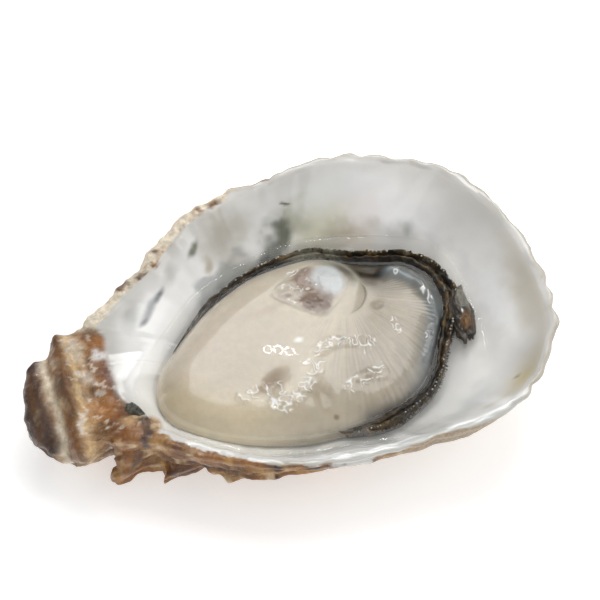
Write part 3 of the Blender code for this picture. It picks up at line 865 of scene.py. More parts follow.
def body_height(x, y):
    """Height of the soft body's upper surface, before the neighbours dip under each other."""
    edge, radius = from_centre(body_edge, BODY_CENTRE, x, y)
    inner = np.clip((edge - radius) / 8.5, 0, 1)
    gills = gill_share(x, y)
    rise = BELLY_RISE + (GILL_RISE - BELLY_RISE) * gills
    z = BODY_EDGE_HEIGHT + rise * (1 - (1 - inner) ** 2.6)
    z = with_bumps(z, BODY_BUMPS, x, y)
    away, along = path_distance(x, y, FOLD_PATH)
    z = z + 0.32 * hill(away, 0, 0.7) * np.sin(np.pi * np.clip(along * 0.9 + 0.08, 0, 1))
    away, along = path_distance(x, y, PALE_FOLD)
    thick = 1.9 - 0.5 * along
    lumpy = 1 + 0.35 * plan_noise(x, y, 2.4, 207)
    z = z + 1.9 * (1 - 0.62 * along) * lumpy * hill(away, 0, thick)
    wrinkles = wrinkle_mask(x, y)
    z = z + wrinkles * (0.22 * plan_noise(x, y, 2.4, 201) + 0.1 * plan_noise(x, y, 1.1, 203))
    z = z + wrinkles * 0.2
    z = z + 0.1 * glint_lines(x, y)
    return z + 0.05 * gills**2 * plan_noise(x, y, 2.2, 221)


def filaments(x, y):
    """The gills' fine ridges, as a height of about -1 to 1, fanning out from the focus."""
    angle, radius = polar(x - GILL_FOCUS[0], y - GILL_FOCUS[1])
    bend = 0.9 * plan_noise(x, y, 6.0, 231, 2) + 0.03 * radius
    wave = np.sin(GILL_FILAMENTS * angle + bend * 2)
    broken = 0.65 + 0.35 * noise(18 * angle, 0.12 * radius, 0 * x, 1.0, 241, 2)
    fade = smooth(5.5, 9.0, radius)
    return wave * broken * fade


CREAM = linear(205, 194, 175)
PAINTED_GLINT = linear(254, 254, 252)
FLESH_PATCHES_AND_SHADE = (
    # centre, half sizes, turn, colour, amount, softness
    ((-24.5, -13.0), (7.0, 5.0), -25, (196, 180, 146), 0.8, 0.9),
    ((-12.0, -21.0), (14.0, 5.0), -12, (214, 200, 170), 0.85, 0.9),
    ((-14.0, -3.0), (9.0, 6.0), 30, (212, 199, 184), 0.5, 0.9),
    ((4.0, -22.5), (10.0, 5.0), 0, (182, 171, 150), 0.85, 0.9),
    ((-5.4, -13.8), (3.4, 1.6), 30, (158, 136, 112), 0.75, 0.8),
    ((4.6, -19.6), (2.3, 3.0), 12, (160, 144, 118), 0.7, 0.6),
    ((2.2, -17.6), (0.9, 0.7), 0, (142, 128, 92), 0.7, 0.7),
    ((6.6, -24.2), (0.6, 0.5), 0, (128, 108, 82), 0.8, 0.6),
    ((22.2, 0.3), (1.5, 1.1), 0, (150, 140, 120), 0.6, 0.9),
    ((-0.6, 4.4), (4.5, 1.0), 14, (176, 152, 132), 0.35, 0.9),
    # dark mantle mottling with painted shade in the hollow between the muscle and the pale fold
    ((22.8, 7.8), (5.4, 3.2), -28, (100, 94, 80), 0.85, 0.9),
    ((22.0, 10.4), (6.0, 2.8), -24, (58, 48, 32), 0.95, 0.6),
    ((24.9, 9.4), (1.7, 1.5), -35, (24, 22, 16), 0.95, 0.5),
    ((19.6, 14.6), (4.6, 0.8), -22, (112, 94, 66), 0.7, 0.7),
    ((22.0, 11.6), (4.6, 0.5), -24, (100, 84, 60), 0.6, 0.8),
)
MUSCLE_PATCHES = (
    ((8.8, 7.2), (6.4, 7.0), 0, (128, 103, 82), 0.95, 0.4),
    ((14.6, 9.6), (3.9, 4.9), 10, (200, 204, 204), 0.97, 0.3),
    ((11.6, 9.4), (1.6, 2.2), 20, (200, 202, 200), 0.6, 0.8),
    ((3.2, 8.8), (2.9, 2.2), 18, (200, 190, 174), 0.9, 0.5),
    ((5.4, 6.6), (2.0, 0.9), 15, (204, 196, 182), 0.7, 0.7),
    ((0.8, 6.4), (3.0, 0.7), 10, (128, 104, 84), 0.7, 0.8),
    ((9.8, 2.4), (3.8, 3.4), -10, (112, 88, 70), 0.97, 0.5),
)


# The dark borders where the flesh meets the frill: dark mantle colour low on the right, a painted shadow
# along the low side of the belly, and dark mantle colour with painted shade along the upper left
LOW_SMEAR = ((36.4, -5.5), (33.6, -10.5), (31.8, -15.0), (28.5, -20.0), (22.5, -24.2), (14.5, -26.4))
LOW_SHADOW = ((14.5, -26.6), (7.0, -27.4), (-2.0, -27.0), (-9.0, -25.8))
UPPER_MANTLE_AND_SHADE = ((-24.0, 1.4), (-16.6, 8.4), (-9.0, 13.4), (-2.4, 16.4), (6.3, 18.0), (12.6, 18.0))


def gill_tint(colour, x, y):
    """The flesh colour, greyer and darker toward the gills' outer edge, with fine streaks."""
    edge, radius = from_centre(body_edge, BODY_CENTRE, x, y)
    inner = edge - radius
    colour = mix(colour, linear(162, 151, 133), gill_share(x, y) * 0.8)
    right = smooth(14.0, 27.0, x + 0.25 * (y + 6.0))
    low = 1 - smooth(-22.0, -6.0, y)
    colour = mix(colour, linear(158, 152, 140), right * (1 - smooth(3.0, 10.0, inner)) * 0.8)
    colour = mix(colour, linear(116, 119, 116), right * (1 - smooth(1.6, 6.0, inner)) * 0.9)
    colour = mix(colour, linear(54, 52, 44), right * (1 - smooth(0.2, 1.6 + 1.0 * low, inner)) * 0.9)
    angle, reach = polar(x - GILL_FOCUS[0], y - GILL_FOCUS[1])
    streaks = noise(34 * angle, 0.16 * reach, 0 * x, 1.0, 261, 3) * smooth(4.0, 9.0, reach)
    on_gills = smooth(-6.0, 6.0, x - 10.0 - 0.5 * y)
    return colour * (1 + (0.035 * filaments(x, y) + 0.17 * streaks) * on_gills)[..., None]


def fold_tint(colour, x, y):
    """The colour with the pale folds, a painted highlight on the pale fold's crest, and the dark borders
    over it, some of which are painted shade and shadow.
    """
    away, _ = path_distance(x, y, FOLD_PATH)
    colour = mix(colour, linear(196, 194, 174), 0.45 * hill(away, 0, 0.8))
    away, along = path_distance(x, y, PALE_FOLD)
    pale = np.exp(-((away / (2.1 - 0.3 * along)) ** 4)) * (1 - 0.25 * along)
    colour = mix(colour, linear(112, 120, 122), 0.85 * pale)
    # the crest of the pale fold near its head: its own paler tone with a painted highlight
    crown = 0.6 * hill(away, 0, 0.8) * (1 - smooth(0.1, 0.5, along))
    colour = mix(colour, linear(158, 170, 174), crown)
    away, along = path_distance(x, y, LOW_SMEAR)
    colour = mix(colour, linear(34, 32, 26), hill(away, 0, 1.2 + 1.1 * along) * 0.92)
    # painted shadow along the low side of the belly
    away, along = path_distance(x, y, LOW_SHADOW)
    colour = mix(colour, linear(92, 86, 76), hill(away, 0, 1.2) * 0.8 * (1 - along))
    # dark mantle colour with painted shade along the upper left border
    away, _ = path_distance(x, y, UPPER_MANTLE_AND_SHADE)
    return mix(colour, linear(52, 40, 24), hill(away, 0, 1.0) * 0.9)


def wobbled(x, y, reach, size, seed, octaves):
    """The places in plan, shifted by noise so that patches get uneven outlines."""
    return (
        x + reach * plan_noise(x, y, size, seed, octaves),
        y + reach * plan_noise(x, y, size, seed + 1, octaves),
    )


def flesh_tint(x, y):
    """Colour of the soft body; alpha is the share that is gill."""
    colour = np.ones(np.shape(x) + (3,)) * CREAM
    colour = colour * (1 - 0.05 * plan_noise(x, y, 10.0, 251, 3)[..., None])
    colour = gill_tint(colour, x, y)
    colour = lay_patches(colour, FLESH_PATCHES_AND_SHADE, *wobbled(x, y, 0.7, 2.6, 271, 2))
    colour = fold_tint(colour, x, y)
    # painted highlight: near-white glint lines along the wet folds
    colour = mix(colour, PAINTED_GLINT, 0.95 * glint_lines(x, y))
    return np.concatenate((np.clip(colour, 0.004, 0.98), gill_share(x, y)[..., None]), -1)


def muscle_tint(x, y):
    """Colour of the cut muscle: a pearly part beside a pink-brown part."""
    colour = np.ones(np.shape(x) + (3,)) * linear(212, 202, 186)
    colour = lay_patches(colour, MUSCLE_PATCHES, *wobbled(x, y, 0.9, 2.4, 281, 3))
    # painted highlight: near-white glint lines along the wet folds
    return mix(colour, PAINTED_GLINT, 0.95 * glint_lines(x, y))


def skirted(name, x, y, z, foot_height, tuck):
    """A closed lump: the top surface, then a side that falls to foot_height and tucks inward."""
    centre = np.array((x[0].mean(), y[0].mean()))
    rings = [np.stack((x, y, z), -1)]
    rim = rings[0][-1]
    for share in (0.12, 0.35, 0.7, 1.0):
        ring = rim.copy()
        ring[:, 2] = rim[:, 2] + (foot_height - rim[:, 2]) * share
        spread = 1 - tuck * share**2 + 0.012 * math.sin(math.pi * share)
        ring[:, :2] = centre + (rim[:, :2] - centre) * spread
        rings.append(ring[None])
    grid = np.concatenate(rings)
    return capped_grid(name, grid, (*centre, z[0].mean()), (*centre, foot_height)), grid


def polar_grid(reader, centre, columns, rings, reach=1.0):
    """Places on rings round a centre, the last one on the outline, or past it by reach."""
    angle = np.linspace(-np.pi, np.pi, columns, endpoint=False)[None, :]
    share = (np.linspace(0.02, 1, rings) ** 0.8)[:, None]
    radius = reader(angle)[0] * share * reach
    return centre[0] + radius * np.cos(angle), centre[1] + radius * np.sin(angle)


def make_belly():
    """The cream visceral mass, which carries the whole body's outline."""
    x, y = polar_grid(body_edge, BODY_CENTRE, 400, 150)
    z = body_height(x, y) - SUNK * smooth(0.0, 4.0, past_seam(x, y)) - 0.35 * muscle_share(x, y)
    belly, grid = skirted("belly", x, y, z, BODY_FOOT_HEIGHT, 0.12)
    paint(belly, "tint", flesh_tint(grid[..., 0], grid[..., 1]).reshape(-1, 4))
    return belly


def make_muscle():
    """The adductor muscle's cut face, raised a little out of the belly."""
    x, y = polar_grid(muscle_edge, MUSCLE_CENTRE, 160, 60, 1.1)
    share = muscle_share(x, y)
    z = with_bumps(body_height(x, y) - 0.15 + 0.17 * share, MUSCLE_BUMPS, x, y)
    z = z + 0.1 * plan_noise(x, y, 1.4, 291, 2) * share
    muscle, grid = skirted("muscle", x, y, z, BODY_FOOT_HEIGHT + 1, 0.3)
    gx, gy = grid[..., 0], grid[..., 1]
    edge, radius = from_centre(muscle_edge, MUSCLE_CENTRE, gx, gy)
    own = 1 - smooth(0.72, 0.98, radius / edge + 0.12 * plan_noise(gx, gy, 2.0, 295, 3))
    tint = mix(flesh_tint(gx, gy)[..., :3], muscle_tint(gx, gy), own)
    paint(muscle, "tint", tint.reshape(-1, 3))
    return muscle


def gill_top():
    """The gills' upper surface: rays from the focus out to the body's edge."""
    low, high = np.radians(GILL_FAN)
    angle = np.linspace(low, high, GILL_RAYS)[None, :]
    direction_x, direction_y = np.cos(angle), np.sin(angle)
    reach = np.linspace(2.0, 60.0, 400)[:, None]
    along_x, along_y = GILL_FOCUS[0] + reach * direction_x, GILL_FOCUS[1] + reach * direction_y
    edge, radius = from_centre(body_edge, BODY_CENTRE, along_x, along_y)
    last = (radius < edge).sum(0) - 1
    far = reach[np.clip(last, 3, None), 0][None, :]
    share = np.linspace(0, 1, GILL_RINGS)[:, None]
    r = GILL_START + (far - GILL_START) * share
    x, y = GILL_FOCUS[0] + r * direction_x, GILL_FOCUS[1] + r * direction_y
    fan = smooth(low, low + 0.14, angle) * (1 - smooth(high - 0.14, high, angle))
    fan = fan * smooth(0.0, 0.06, share) * smooth(0.0, 0.04, 1 - share)
    past = past_seam(x, y)
    ripple = 0.026 * filaments(x, y) * smooth(0.0, 0.1, 1 - share) * smooth(0.0, 6.0, past)
    z = body_height(x, y) - SUNK * smooth(0.0, 4.0, -past) + ripple - 0.7 * (1 - fan)
    return np.stack((x, y, z), -1)


def slab_faces(rings, columns):
    """Faces of a slab: rings of points over its top and back under it, open across its columns."""
    faces = []
    for ring in range(rings):
        here, there = ring * columns, (ring + 1) % rings * columns
        faces += [(here + c, here + c + 1, there + c + 1, there + c) for c in range(columns - 1)]
    for side in (0, columns - 1):
        for ring in range(rings // 2 - 1):
            a, b = ring * columns + side, (ring + 1) * columns + side
            c, d = (rings - 1 - ring) * columns + side, (rings - 2 - ring) * columns + side
            faces.append((a, b, d, c) if side == 0 else (b, a, c, d))
    return faces


def make_gills():
    """A fan of filaments. Its near border dips under the belly, and its far one is the body's edge."""
    top = gill_top()
    bottom = top - (0, 0, GILL_DEPTH)
    grid = np.concatenate((top, bottom[::-1]))
    gills = make_mesh("gill_fan", grid.reshape(-1, 3), slab_faces(*grid.shape[:2]))
    paint(gills, "tint", flesh_tint(grid[..., 0], grid[..., 1]).reshape(-1, 4))
    return gills


# ---------------------------------------------------------------- the mantle's frilled edge

FRILL_STATIONS = 900
FRILL_FOOT = BODY_EDGE_HEIGHT + 0.7
FRILL_SECTION = (
    # across (share of the half width, + is outward), height above the body's edge
    (-1.25, -3.0), (-1.2, 0.2), (-1.0, 1.15), (-0.7, 1.55), (-0.4, 1.35), (-0.1, 0.9),
    (0.15, 1.1), (0.4, 1.75), (0.7, 2.15), (1.0, 2.0), (1.2, 1.4), (1.25, 0.4), (1.2, -1.0),
    (1.0, -3.5),
)
# Half width, then height of the crests, by share of the frill's length
FRILL_WIDTHS = (
    (0.0, 0.2), (0.06, 0.45), (0.2, 0.75), (0.3, 0.95), (0.38, 0.85), (0.46, 0.8), (0.51, 1.0),
    (0.56, 1.5), (0.61, 1.5), (0.67, 1.35), (0.73, 0.9), (0.83, 1.0), (0.88, 1.6), (0.92, 1.2),
    (0.96, 0.4), (1.0, 0.15),
)
FRILL_HEIGHTS = (
    (0.0, -0.6), (0.06, 0.1), (0.12, 0.3), (0.3, 0.7), (0.42, 1.0), (0.67, 1.0), (0.75, 0.55),
    (0.84, 0.55), (0.89, 0.85), (0.93, 0.3), (0.96, -0.6), (1.0, -2.0),
)
FRILL_MOTTLE = (
    ((122, 94, 54), 0.85, (0.05, 0.45), 1.3, 321, 3),
    ((16, 13, 9), 0.9, (0.0, 0.35), 2.0, 331, 3),
    ((120, 116, 98), 0.5, (0.3, 0.55), 2.2, 341, 2),
)


def frill_stations():
    """Stations along the mantle's edge: place, outward direction, distance along, share of the
    length, half width, and height of the crests, by name."""
    path = open_spline(FRILL_PATH, 60)
    step = np.hypot(*np.diff(path, axis=0).T)
    passed = np.concatenate(([0], np.cumsum(step)))
    along = np.linspace(0, passed[-1], FRILL_STATIONS)
    place = np.stack([np.interp(along, passed, path[:, i]) for i in (0, 1)], -1)
    tangent = np.gradient(place, axis=0)
    tangent /= np.linalg.norm(tangent, axis=1, keepdims=True)
    outward = np.stack((-tangent[:, 1], tangent[:, 0]), -1)
    share = along / passed[-1]
    half = np.interp(share, *zip(*FRILL_WIDTHS))
    rise = np.interp(share, *zip(*FRILL_HEIGHTS))
    return dict(place=place, outward=outward, along=along, share=share, half=half, rise=rise)


def frill_points(edge, across, up):
    """The ribbon's points: its section along the path, ruffled, warped and waved at the crests."""
    along, half, rise = edge["along"], edge["half"][:, None], edge["rise"][:, None]
    out_x, out_y = edge["outward"][:, :1], edge["outward"][:, 1:]
    ruffle = 0.34 * noise(along, 0 * along, 0 * along, 2.6, 301, 3)
    crest = smooth(-0.2, 1.0, up)
    push = ruffle[:, None] * half * crest * np.sign(across + 0.05)
    offset = across * half + push * 0.8
    x = edge["place"][:, :1] + out_x * offset
    y = edge["place"][:, 1:] + out_y * offset
    warp = plan_noise(x, y, 1.5, 313, 2) * crest
    x = x + 0.35 * warp * out_x + 0.3 * noise(x, y, 3 + 0 * x, 1.1, 315) * crest * out_y
    y = y + 0.35 * warp * out_y - 0.3 * noise(x, y, 3 + 0 * x, 1.1, 315) * crest * out_x
    wave = 0.34 * plan_noise(x, y, 1.2, 311, 3) + 0.3 * plan_noise(x, y, 4.0, 312)
    wave = wave * crest * np.clip(rise, 0.2, 1)
    return x, y, FRILL_FOOT + np.where(up > 0, up * rise, up) + wave


def frill_tint(x, y, z, across, share):
    """Dark umber on the crests, with olive, rust and black mottling, and painted shade in the groove
    between them.
    """
    colour = np.ones(x.shape + (3,)) * linear(66, 52, 30)
    colour = lay_mottle(colour, FRILL_MOTTLE, x, y, z)
    # painted shade: darker down the groove between the two crests
    groove = hill(across, 0.05 * noise(x, y, z, 2.0, 343), 0.22)
    colour = mix(colour, linear(20, 17, 13), 0.8 * groove)
    colour = mix(colour, linear(14, 12, 9), 0.8 * smooth(0.5, 1.1, -across))
    thin = smooth(0.70, 0.80, share) * (1 - smooth(0.86, 0.90, share))
    colour = mix(colour, linear(20, 18, 14), 0.7 * thin)
    veil = smooth(0.26, 0.31, share) * (1 - smooth(0.36, 0.39, share))
    veil = 0.7 * veil * smooth(-0.5, 0.1, noise(x, y, z, 1.6, 345, 2))
    colour = mix(colour, linear(126, 124, 108), veil)
    left = 1 - smooth(0.12, 0.3, share)
    return mix(colour, linear(44, 34, 20), 0.6 * left)


def make_frill():
    """The dark ribbon with two ruffled crests and a groove between them."""
    edge = frill_stations()
    section = open_spline(FRILL_SECTION, 3)
    across, up = section[:, 0][None, :], section[:, 1][None, :]
    x, y, z = frill_points(edge, across, up)
    ends = [np.append(edge["place"][i], BODY_EDGE_HEIGHT) for i in (0, -1)]
    frill = capped_grid("mantle_frill", np.stack((x, y, z), -1), *ends, turn_over=True)
    tint = frill_tint(x, y, z, across, edge["share"][:, None])
    paint(frill, "tint", tint.reshape(-1, 3))
    return frill


BALL_RINGS, BALL_COLUMNS = 4, 8
BALL_POINTS = BALL_RINGS * BALL_COLUMNS + 2  # the rings and the two poles
BEADS_FROM = 18.0
FRINGE_FROM = 0.62  # as a share of the frill's length
PAINTED_GLINT_BEAD_SHARE = 0.62


def ball_points():
    """Unit-sphere points on rings between the poles."""
    down = math.pi * np.arange(1, BALL_RINGS + 1)[:, None] / (BALL_RINGS + 1)
    turn = 2 * np.pi * np.arange(BALL_COLUMNS)[None, :] / BALL_COLUMNS
    return np.stack((np.sin(down) * np.cos(turn), np.sin(down) * np.sin(turn), np.cos(down) + 0 * turn), -1)


def add_ball(points, faces, centre, radii, axis=(0, 0, 1)):
    """Adds an ellipsoid, with its third radius along the axis, to the growing lists."""
    w = np.asarray(axis, float) / np.linalg.norm(axis)
    u = np.cross(w, (0.3, 0.9, 0.1))
    u /= np.linalg.norm(u)
    v = np.cross(w, u)
    matrix = np.stack((u * radii[0], v * radii[1], w * radii[2]))
    first = len(points)
    points.extend((ball_points().reshape(-1, 3) @ matrix + centre).tolist())
    points.append((centre + w * radii[2]).tolist())
    points.append((centre - w * radii[2]).tolist())
    faces.extend((ring_faces(BALL_RINGS, BALL_COLUMNS) + first)[:, ::-1].tolist())
    top = first + BALL_RINGS * BALL_COLUMNS
    last = top - BALL_COLUMNS
    for c in range(BALL_COLUMNS):
        d = (c + 1) % BALL_COLUMNS
        faces.append((top, first + c, first + d))
        faces.append((top + 1, last + d, last + c))


def add_beads(points, faces, edge, rng):
    """The row of small papillae on the frill's outer crest."""
    at = BEADS_FROM
    while at < edge["along"][-1] - 1:
        i = int(np.searchsorted(edge["along"], at))
        away = 0.72 * edge["half"][i] + rng.uniform(-0.12, 0.12)
        x, y = edge["place"][i] + edge["outward"][i] * away
        z = FRILL_FOOT + 2.1 * edge["rise"][i] + rng.uniform(-0.08, 0.1)
        radius = rng.uniform(0.16, 0.31) * (0.6 + 0.4 * edge["rise"][i])
        add_ball(points, faces, np.array((x, y, z)), (radius, radius, radius * 1.2))
        at += rng.uniform(0.5, 1.1)


def add_fringe(points, faces, edge, rng):
    """The fringe of fine papillae that lies outward over the shell."""
    at = FRINGE_FROM * edge["along"][-1]
    while at < edge["along"][-1] - 1:
        i = int(np.searchsorted(edge["along"], at))
        outward = edge["outward"][i]
        length = rng.uniform(0.35, 0.85)
        tilt = rng.uniform(-0.5, 0.5)
        side = np.array((-outward[1], outward[0]))
        axis = np.array((*(outward + side * tilt), rng.uniform(-0.5, 0.1)))
        root = edge["place"][i] + outward * (1.15 * edge["half"][i])
        base = np.array((*root, FRILL_FOOT + 0.9 * edge["rise"][i]))
        add_ball(points, faces, base + axis * length * 0.4, (0.09, 0.09, length * 0.75), axis)
        at += rng.uniform(0.22, 0.5)


def make_frill_beads():
    """All papillae of the frill, as one piece; a share of the beads is painted pale as painted highlights
    of wet light.
    """
    rng = np.random.default_rng(7)
    edge = frill_stations()
    points, faces = [], []
    add_beads(points, faces, edge, rng)
    bead_count = len(points) // BALL_POINTS
    add_fringe(points, faces, edge, rng)
    papillae = make_mesh("mantle_papillae", points, faces)
    x, y, z = np.array(points).T
    ball = np.arange(len(points)) // BALL_POINTS
    # painted highlight: pale colour on a share of the beads for glints of wet light
    wet = (rng.uniform(size=ball[-1] + 1) < PAINTED_GLINT_BEAD_SHARE) & (np.arange(ball[-1] + 1) < bead_count)
    colour = np.ones((len(points), 3)) * linear(40, 32, 20)
    colour = mix(colour, linear(205, 203, 192), 0.85 * wet[ball])
    colour = mix(colour, linear(120, 102, 72), 0.7 * smooth(-0.1, 0.4, noise(x, y, z, 1.2, 351)))
    paint(papillae, "tint", colour)
    return papillae


LOBE_CENTRE = (40.0, -5.6, 16.8)
LOBE_HALF = (2.6, 6.8, 1.7)
LOBE_LEAN = math.radians(8)
LOBE_PATCHES = (
    # centre and half sizes as shares of the lobe's own, turn, colour, amount, softness
    ((0.3, 0.5), (0.5, 0.42), 10, (128, 126, 116), 0.85, 0.5),
    ((0.1, -0.4), (0.85, 0.56), 0, (34, 28, 20), 0.9, 0.3),
    ((0.2, -0.4), (0.55, 0.34), 10, (112, 80, 42), 0.95, 0.4),
    ((-0.5, 0.2), (0.3, 0.9), 0, (40, 32, 24), 0.85, 0.8),
)


def lobe_tint(x, y, z):
    """Grey-brown mantle with dark mottling, a pale upper part and the ochre middle."""
    colour = np.ones(x.shape + (3,)) * linear(112, 104, 90)
    colour = mix(colour, linear(46, 38, 26), 0.9 * smooth(0.0, 0.35, noise(x, y, z, 0.34, 371, 3)))
    return lay_patches(colour, LOBE_PATCHES, x, y)


def make_lobe():
    """The thin pocket of mantle that folds out past the frill, with an ochre middle."""
    down = np.linspace(0.04, 0.96, 48)[:, None] * np.pi
    turn = np.linspace(0, 2 * np.pi, 72, endpoint=False)[None, :]
    x, y, z = np.sin(down) * np.cos(turn), np.sin(down) * np.sin(turn), np.cos(down) + 0 * turn
    swell = 1 + 0.42 * noise(x, y, z, 0.42, 361, 3)
    swell = swell - 0.4 * bump(x, y, (0.2, 0.3), (0.45, 0.25)) - 0.3 * bump(x, y, (0.1, -0.35), (0.5, 0.22))
    px, py, pz = x * swell * LOBE_HALF[0], y * swell * LOBE_HALF[1], z * swell * LOBE_HALF[2]
    cosine, sine = math.cos(LOBE_LEAN), math.sin(LOBE_LEAN)
    px, py = px * cosine + py * sine, py * cosine - px * sine
    grid = np.stack((px, py, pz), -1) + LOBE_CENTRE
    ends = [np.array(LOBE_CENTRE) + (0, 0, LOBE_HALF[2] * side) for side in (1, -1)]
    lobe = capped_grid("mantle_lobe", grid, *ends, turn_over=True)
    paint(lobe, "tint", lobe_tint(x, y, z).reshape(-1, 3))
    return lobe


# ---------------------------------------------------------------- ligament and liquor

LIGAMENT_CENTRE = (-34.6, -12.4)
LIGAMENT_HALF = (2.4, 1.4)
LIGAMENT_TURN = math.radians(-42)
LIGAMENT_FOOT = 15.6


def ligament_outline(angles):
    return [1.0 + 0.16 * np.sin(3 * angles + 1) + 0.1 * np.sin(7 * angles)]


def make_ligament():
    """The torn remains of the ligament: a low dark horny patch with ribs across it."""
    x, y = polar_grid(ligament_outline, (0.0, 0.0), 96, 40)
    cosine, sine = math.cos(LIGAMENT_TURN), math.sin(LIGAMENT_TURN)
    wide, narrow = LIGAMENT_HALF
    px = LIGAMENT_CENTRE[0] + wide * x * cosine - narrow * y * sine
    py = LIGAMENT_CENTRE[1] + wide * x * sine + narrow * y * cosine
    dome = np.clip(1 - x * x - y * y, 0, 1) ** 0.6
    z = shell_top(px, py) + 0.1 + 0.85 * dome + 0.14 * np.sin(x * 16) * dome
    z = z + 0.5 * plan_noise(px, py, 1.2, 381, 3) * dome
    ligament, grid = skirted("ligament", px, py, z, LIGAMENT_FOOT, 0.2)
    gx, gy, gz = (grid[..., i] for i in range(3))
    colour = np.ones(gx.shape + (3,)) * linear(88, 90, 78)
    colour = mix(colour, linear(52, 44, 32), smooth(-0.1, 0.5, noise(gx, gy, gz, 1.0, 391, 3)))
    paint(ligament, "tint", colour.reshape(-1, 3))
    return ligament


MENISCUS_RISE, MENISCUS_REACH = 0.13, 0.4
UNDER_BODY, UNDER_SHELL = 1.2, 1.1  # how far the liquor runs in under its neighbours
liquor_edge = radius_reader(closed_spline(WATERLINE, 24) - BODY_CENTRE)


def make_liquor():
    """The clear liquid round the body, with its skin drawn up where it touches flesh and shell."""
    angle = np.linspace(-np.pi, np.pi, 560, endpoint=False)[None, :]
    inner = body_edge(angle)[0] - UNDER_BODY
    outer = liquor_edge(angle)[0] + UNDER_SHELL
    share = np.linspace(0, 1, 70)[:, None]
    radius = inner + (outer - inner) * (0.5 - 0.5 * np.cos(np.pi * share))
    x, y = BODY_CENTRE[0] + radius * np.cos(angle), BODY_CENTRE[1] + radius * np.sin(angle)
    from_shell = np.clip(outer - UNDER_SHELL - radius, 0, None)
    from_body = np.clip(radius - body_edge(angle)[0], 0, None)
    z = WATER_HEIGHT + MENISCUS_RISE * np.exp(-from_shell / MENISCUS_REACH)
    z = z + 1.6 * MENISCUS_RISE * np.exp(-from_body / MENISCUS_REACH)
    z = z + 0.012 * plan_noise(x, y, 6.0, 401, 2)
    top = np.stack((x, y, z), -1)
    low = top.copy()
    low[..., 2] = np.minimum(shell_top(x, y) - 0.6, z - 0.4)
    grid = np.concatenate((top, low[::-1]))
    rings, columns = grid.shape[:2]
    return make_mesh("liquor_pool", grid.reshape(-1, 3), ring_faces(rings, columns, closed=True))


# ---------------------------------------------------------------- materials


class Nodes:
    """A short way to add nodes to a material and join them."""

    def __init__(self, name):
        self.material = bpy.data.materials.new(name)
        self.material.use_nodes = True
        self.tree = self.material.node_tree
        self.tree.nodes.clear()
        self.output = self.tree.nodes.new("ShaderNodeOutputMaterial")

    def feed(self, socket, value):
        """Links a socket to another node's output, or sets its own value."""
        if isinstance(value, bpy.types.NodeSocket):
            self.tree.links.new(value, socket)
        else:
            socket.default_value = value

    def add(self, kind, inputs, **settings):
        node = self.tree.nodes.new("ShaderNode" + kind)
        for key, value in settings.items():
            setattr(node, key, value)
        for key, value in inputs.items():
            self.feed(node.inputs[key], value)
        return node

    def grain(self, scale, detail=4.0, roughness=0.6):
        where = self.add("TexCoord", {}).outputs["Object"]
        inputs = {"Vector": where, "Scale": scale, "Detail": detail, "Roughness": roughness}
        return self.add("TexNoise", inputs).outputs["Fac"]

    def range(self, value, low, high, to_low, to_high):
        inputs = {"Value": value, "From Min": low, "From Max": high}
        inputs.update({"To Min": to_low, "To Max": to_high})
        return self.add("MapRange", inputs).outputs["Result"]

    def grey(self, value):
        return self.add("CombineColor", {"Red": value, "Green": value, "Blue": value}).outputs["Color"]

    def blend(self, kind, factor, first, second):
        inputs = {0: factor, 6: first, 7: second}
        return self.add("Mix", inputs, data_type="RGBA", blend_type=kind).outputs[2]

    def relief(self, height, strength, distance):
        inputs = {"Height": height, "Strength": strength, "Distance": distance}
        return self.add("Bump", inputs).outputs["Normal"]

    def tint(self):
        """The colour painted on the mesh, as the node that reads it."""
        return self.add("Attribute", {}, attribute_name="tint")

    def mottled_tint(self, grain, low, high):
        """The painted colour, made uneven by a fine grain."""
        shade = self.grey(self.range(grain, 0.3, 0.7, low, high))
        return self.blend("MULTIPLY", 1.0, self.tint().outputs["Color"], shade)

    def finish(self, shader):
        self.tree.links.new(shader, self.output.inputs["Surface"])
        return self.material

    def principled(self, inputs):
        return self.finish(self.add("BsdfPrincipled", inputs).outputs["BSDF"])


def shell_material():
    """Wet porcelain where the tint's alpha is 1, rough speckled layers where it is 0."""
    n = Nodes("shell_nacre")
    tint = n.tint()
    porcelain = tint.outputs["Alpha"]
    layered = n.add("Math", {0: 1.0, 1: porcelain}, operation="SUBTRACT").outputs[0]
    speckle = n.grey(n.range(n.grain(1400.0, 5.0, 0.7), 0.3, 0.7, 0.72, 1.22))
    wet = n.range(n.grain(260.0, 3.0), 0.42, 0.6, 0.18, 0.5)
    film_strength = n.range(porcelain, 0.0, 1.0, 0.35, 0.02)
    return n.principled(
        {
            "Base Color": n.blend("MULTIPLY", layered, tint.outputs["Color"], speckle),
            "Roughness": n.blend("MIX", porcelain, wet, (0.22, 0.22, 0.22, 1)),
            "Normal": n.relief(n.grain(900.0, 6.0, 0.65), n.range(porcelain, 0.0, 1.0, 0.55, 0.04), 0.0006),
            "Coat Weight": n.range(porcelain, 0.0, 1.0, 0.3, 0.9),
            "Coat Roughness": 0.05,
            "Coat Normal": n.relief(n.grain(420.0, 3.0), film_strength, 0.0008),
            "Subsurface Weight": 0.12,
            "Subsurface Radius": (1.0, 0.8, 0.6),
            "Subsurface Scale": 0.0015,
        }
    )


def flesh_material():
    """Smooth translucent flesh under a film of liquor."""
    n = Nodes("body_cream")
    return n.principled(
        {
            "Base Color": n.mottled_tint(n.grain(420.0), 0.93, 1.05),
            "Roughness": 0.42,
            "Normal": n.relief(n.grain(700.0, 3.0), 0.12, 0.0004),
            "Coat Weight": 1.0,
            "Coat Roughness": 0.025,
            "Coat IOR": 1.36,
            "Subsurface Weight": 0.55,
            "Subsurface Radius": (1.0, 0.72, 0.5),
            "Subsurface Scale": 0.0016,
        }
    )


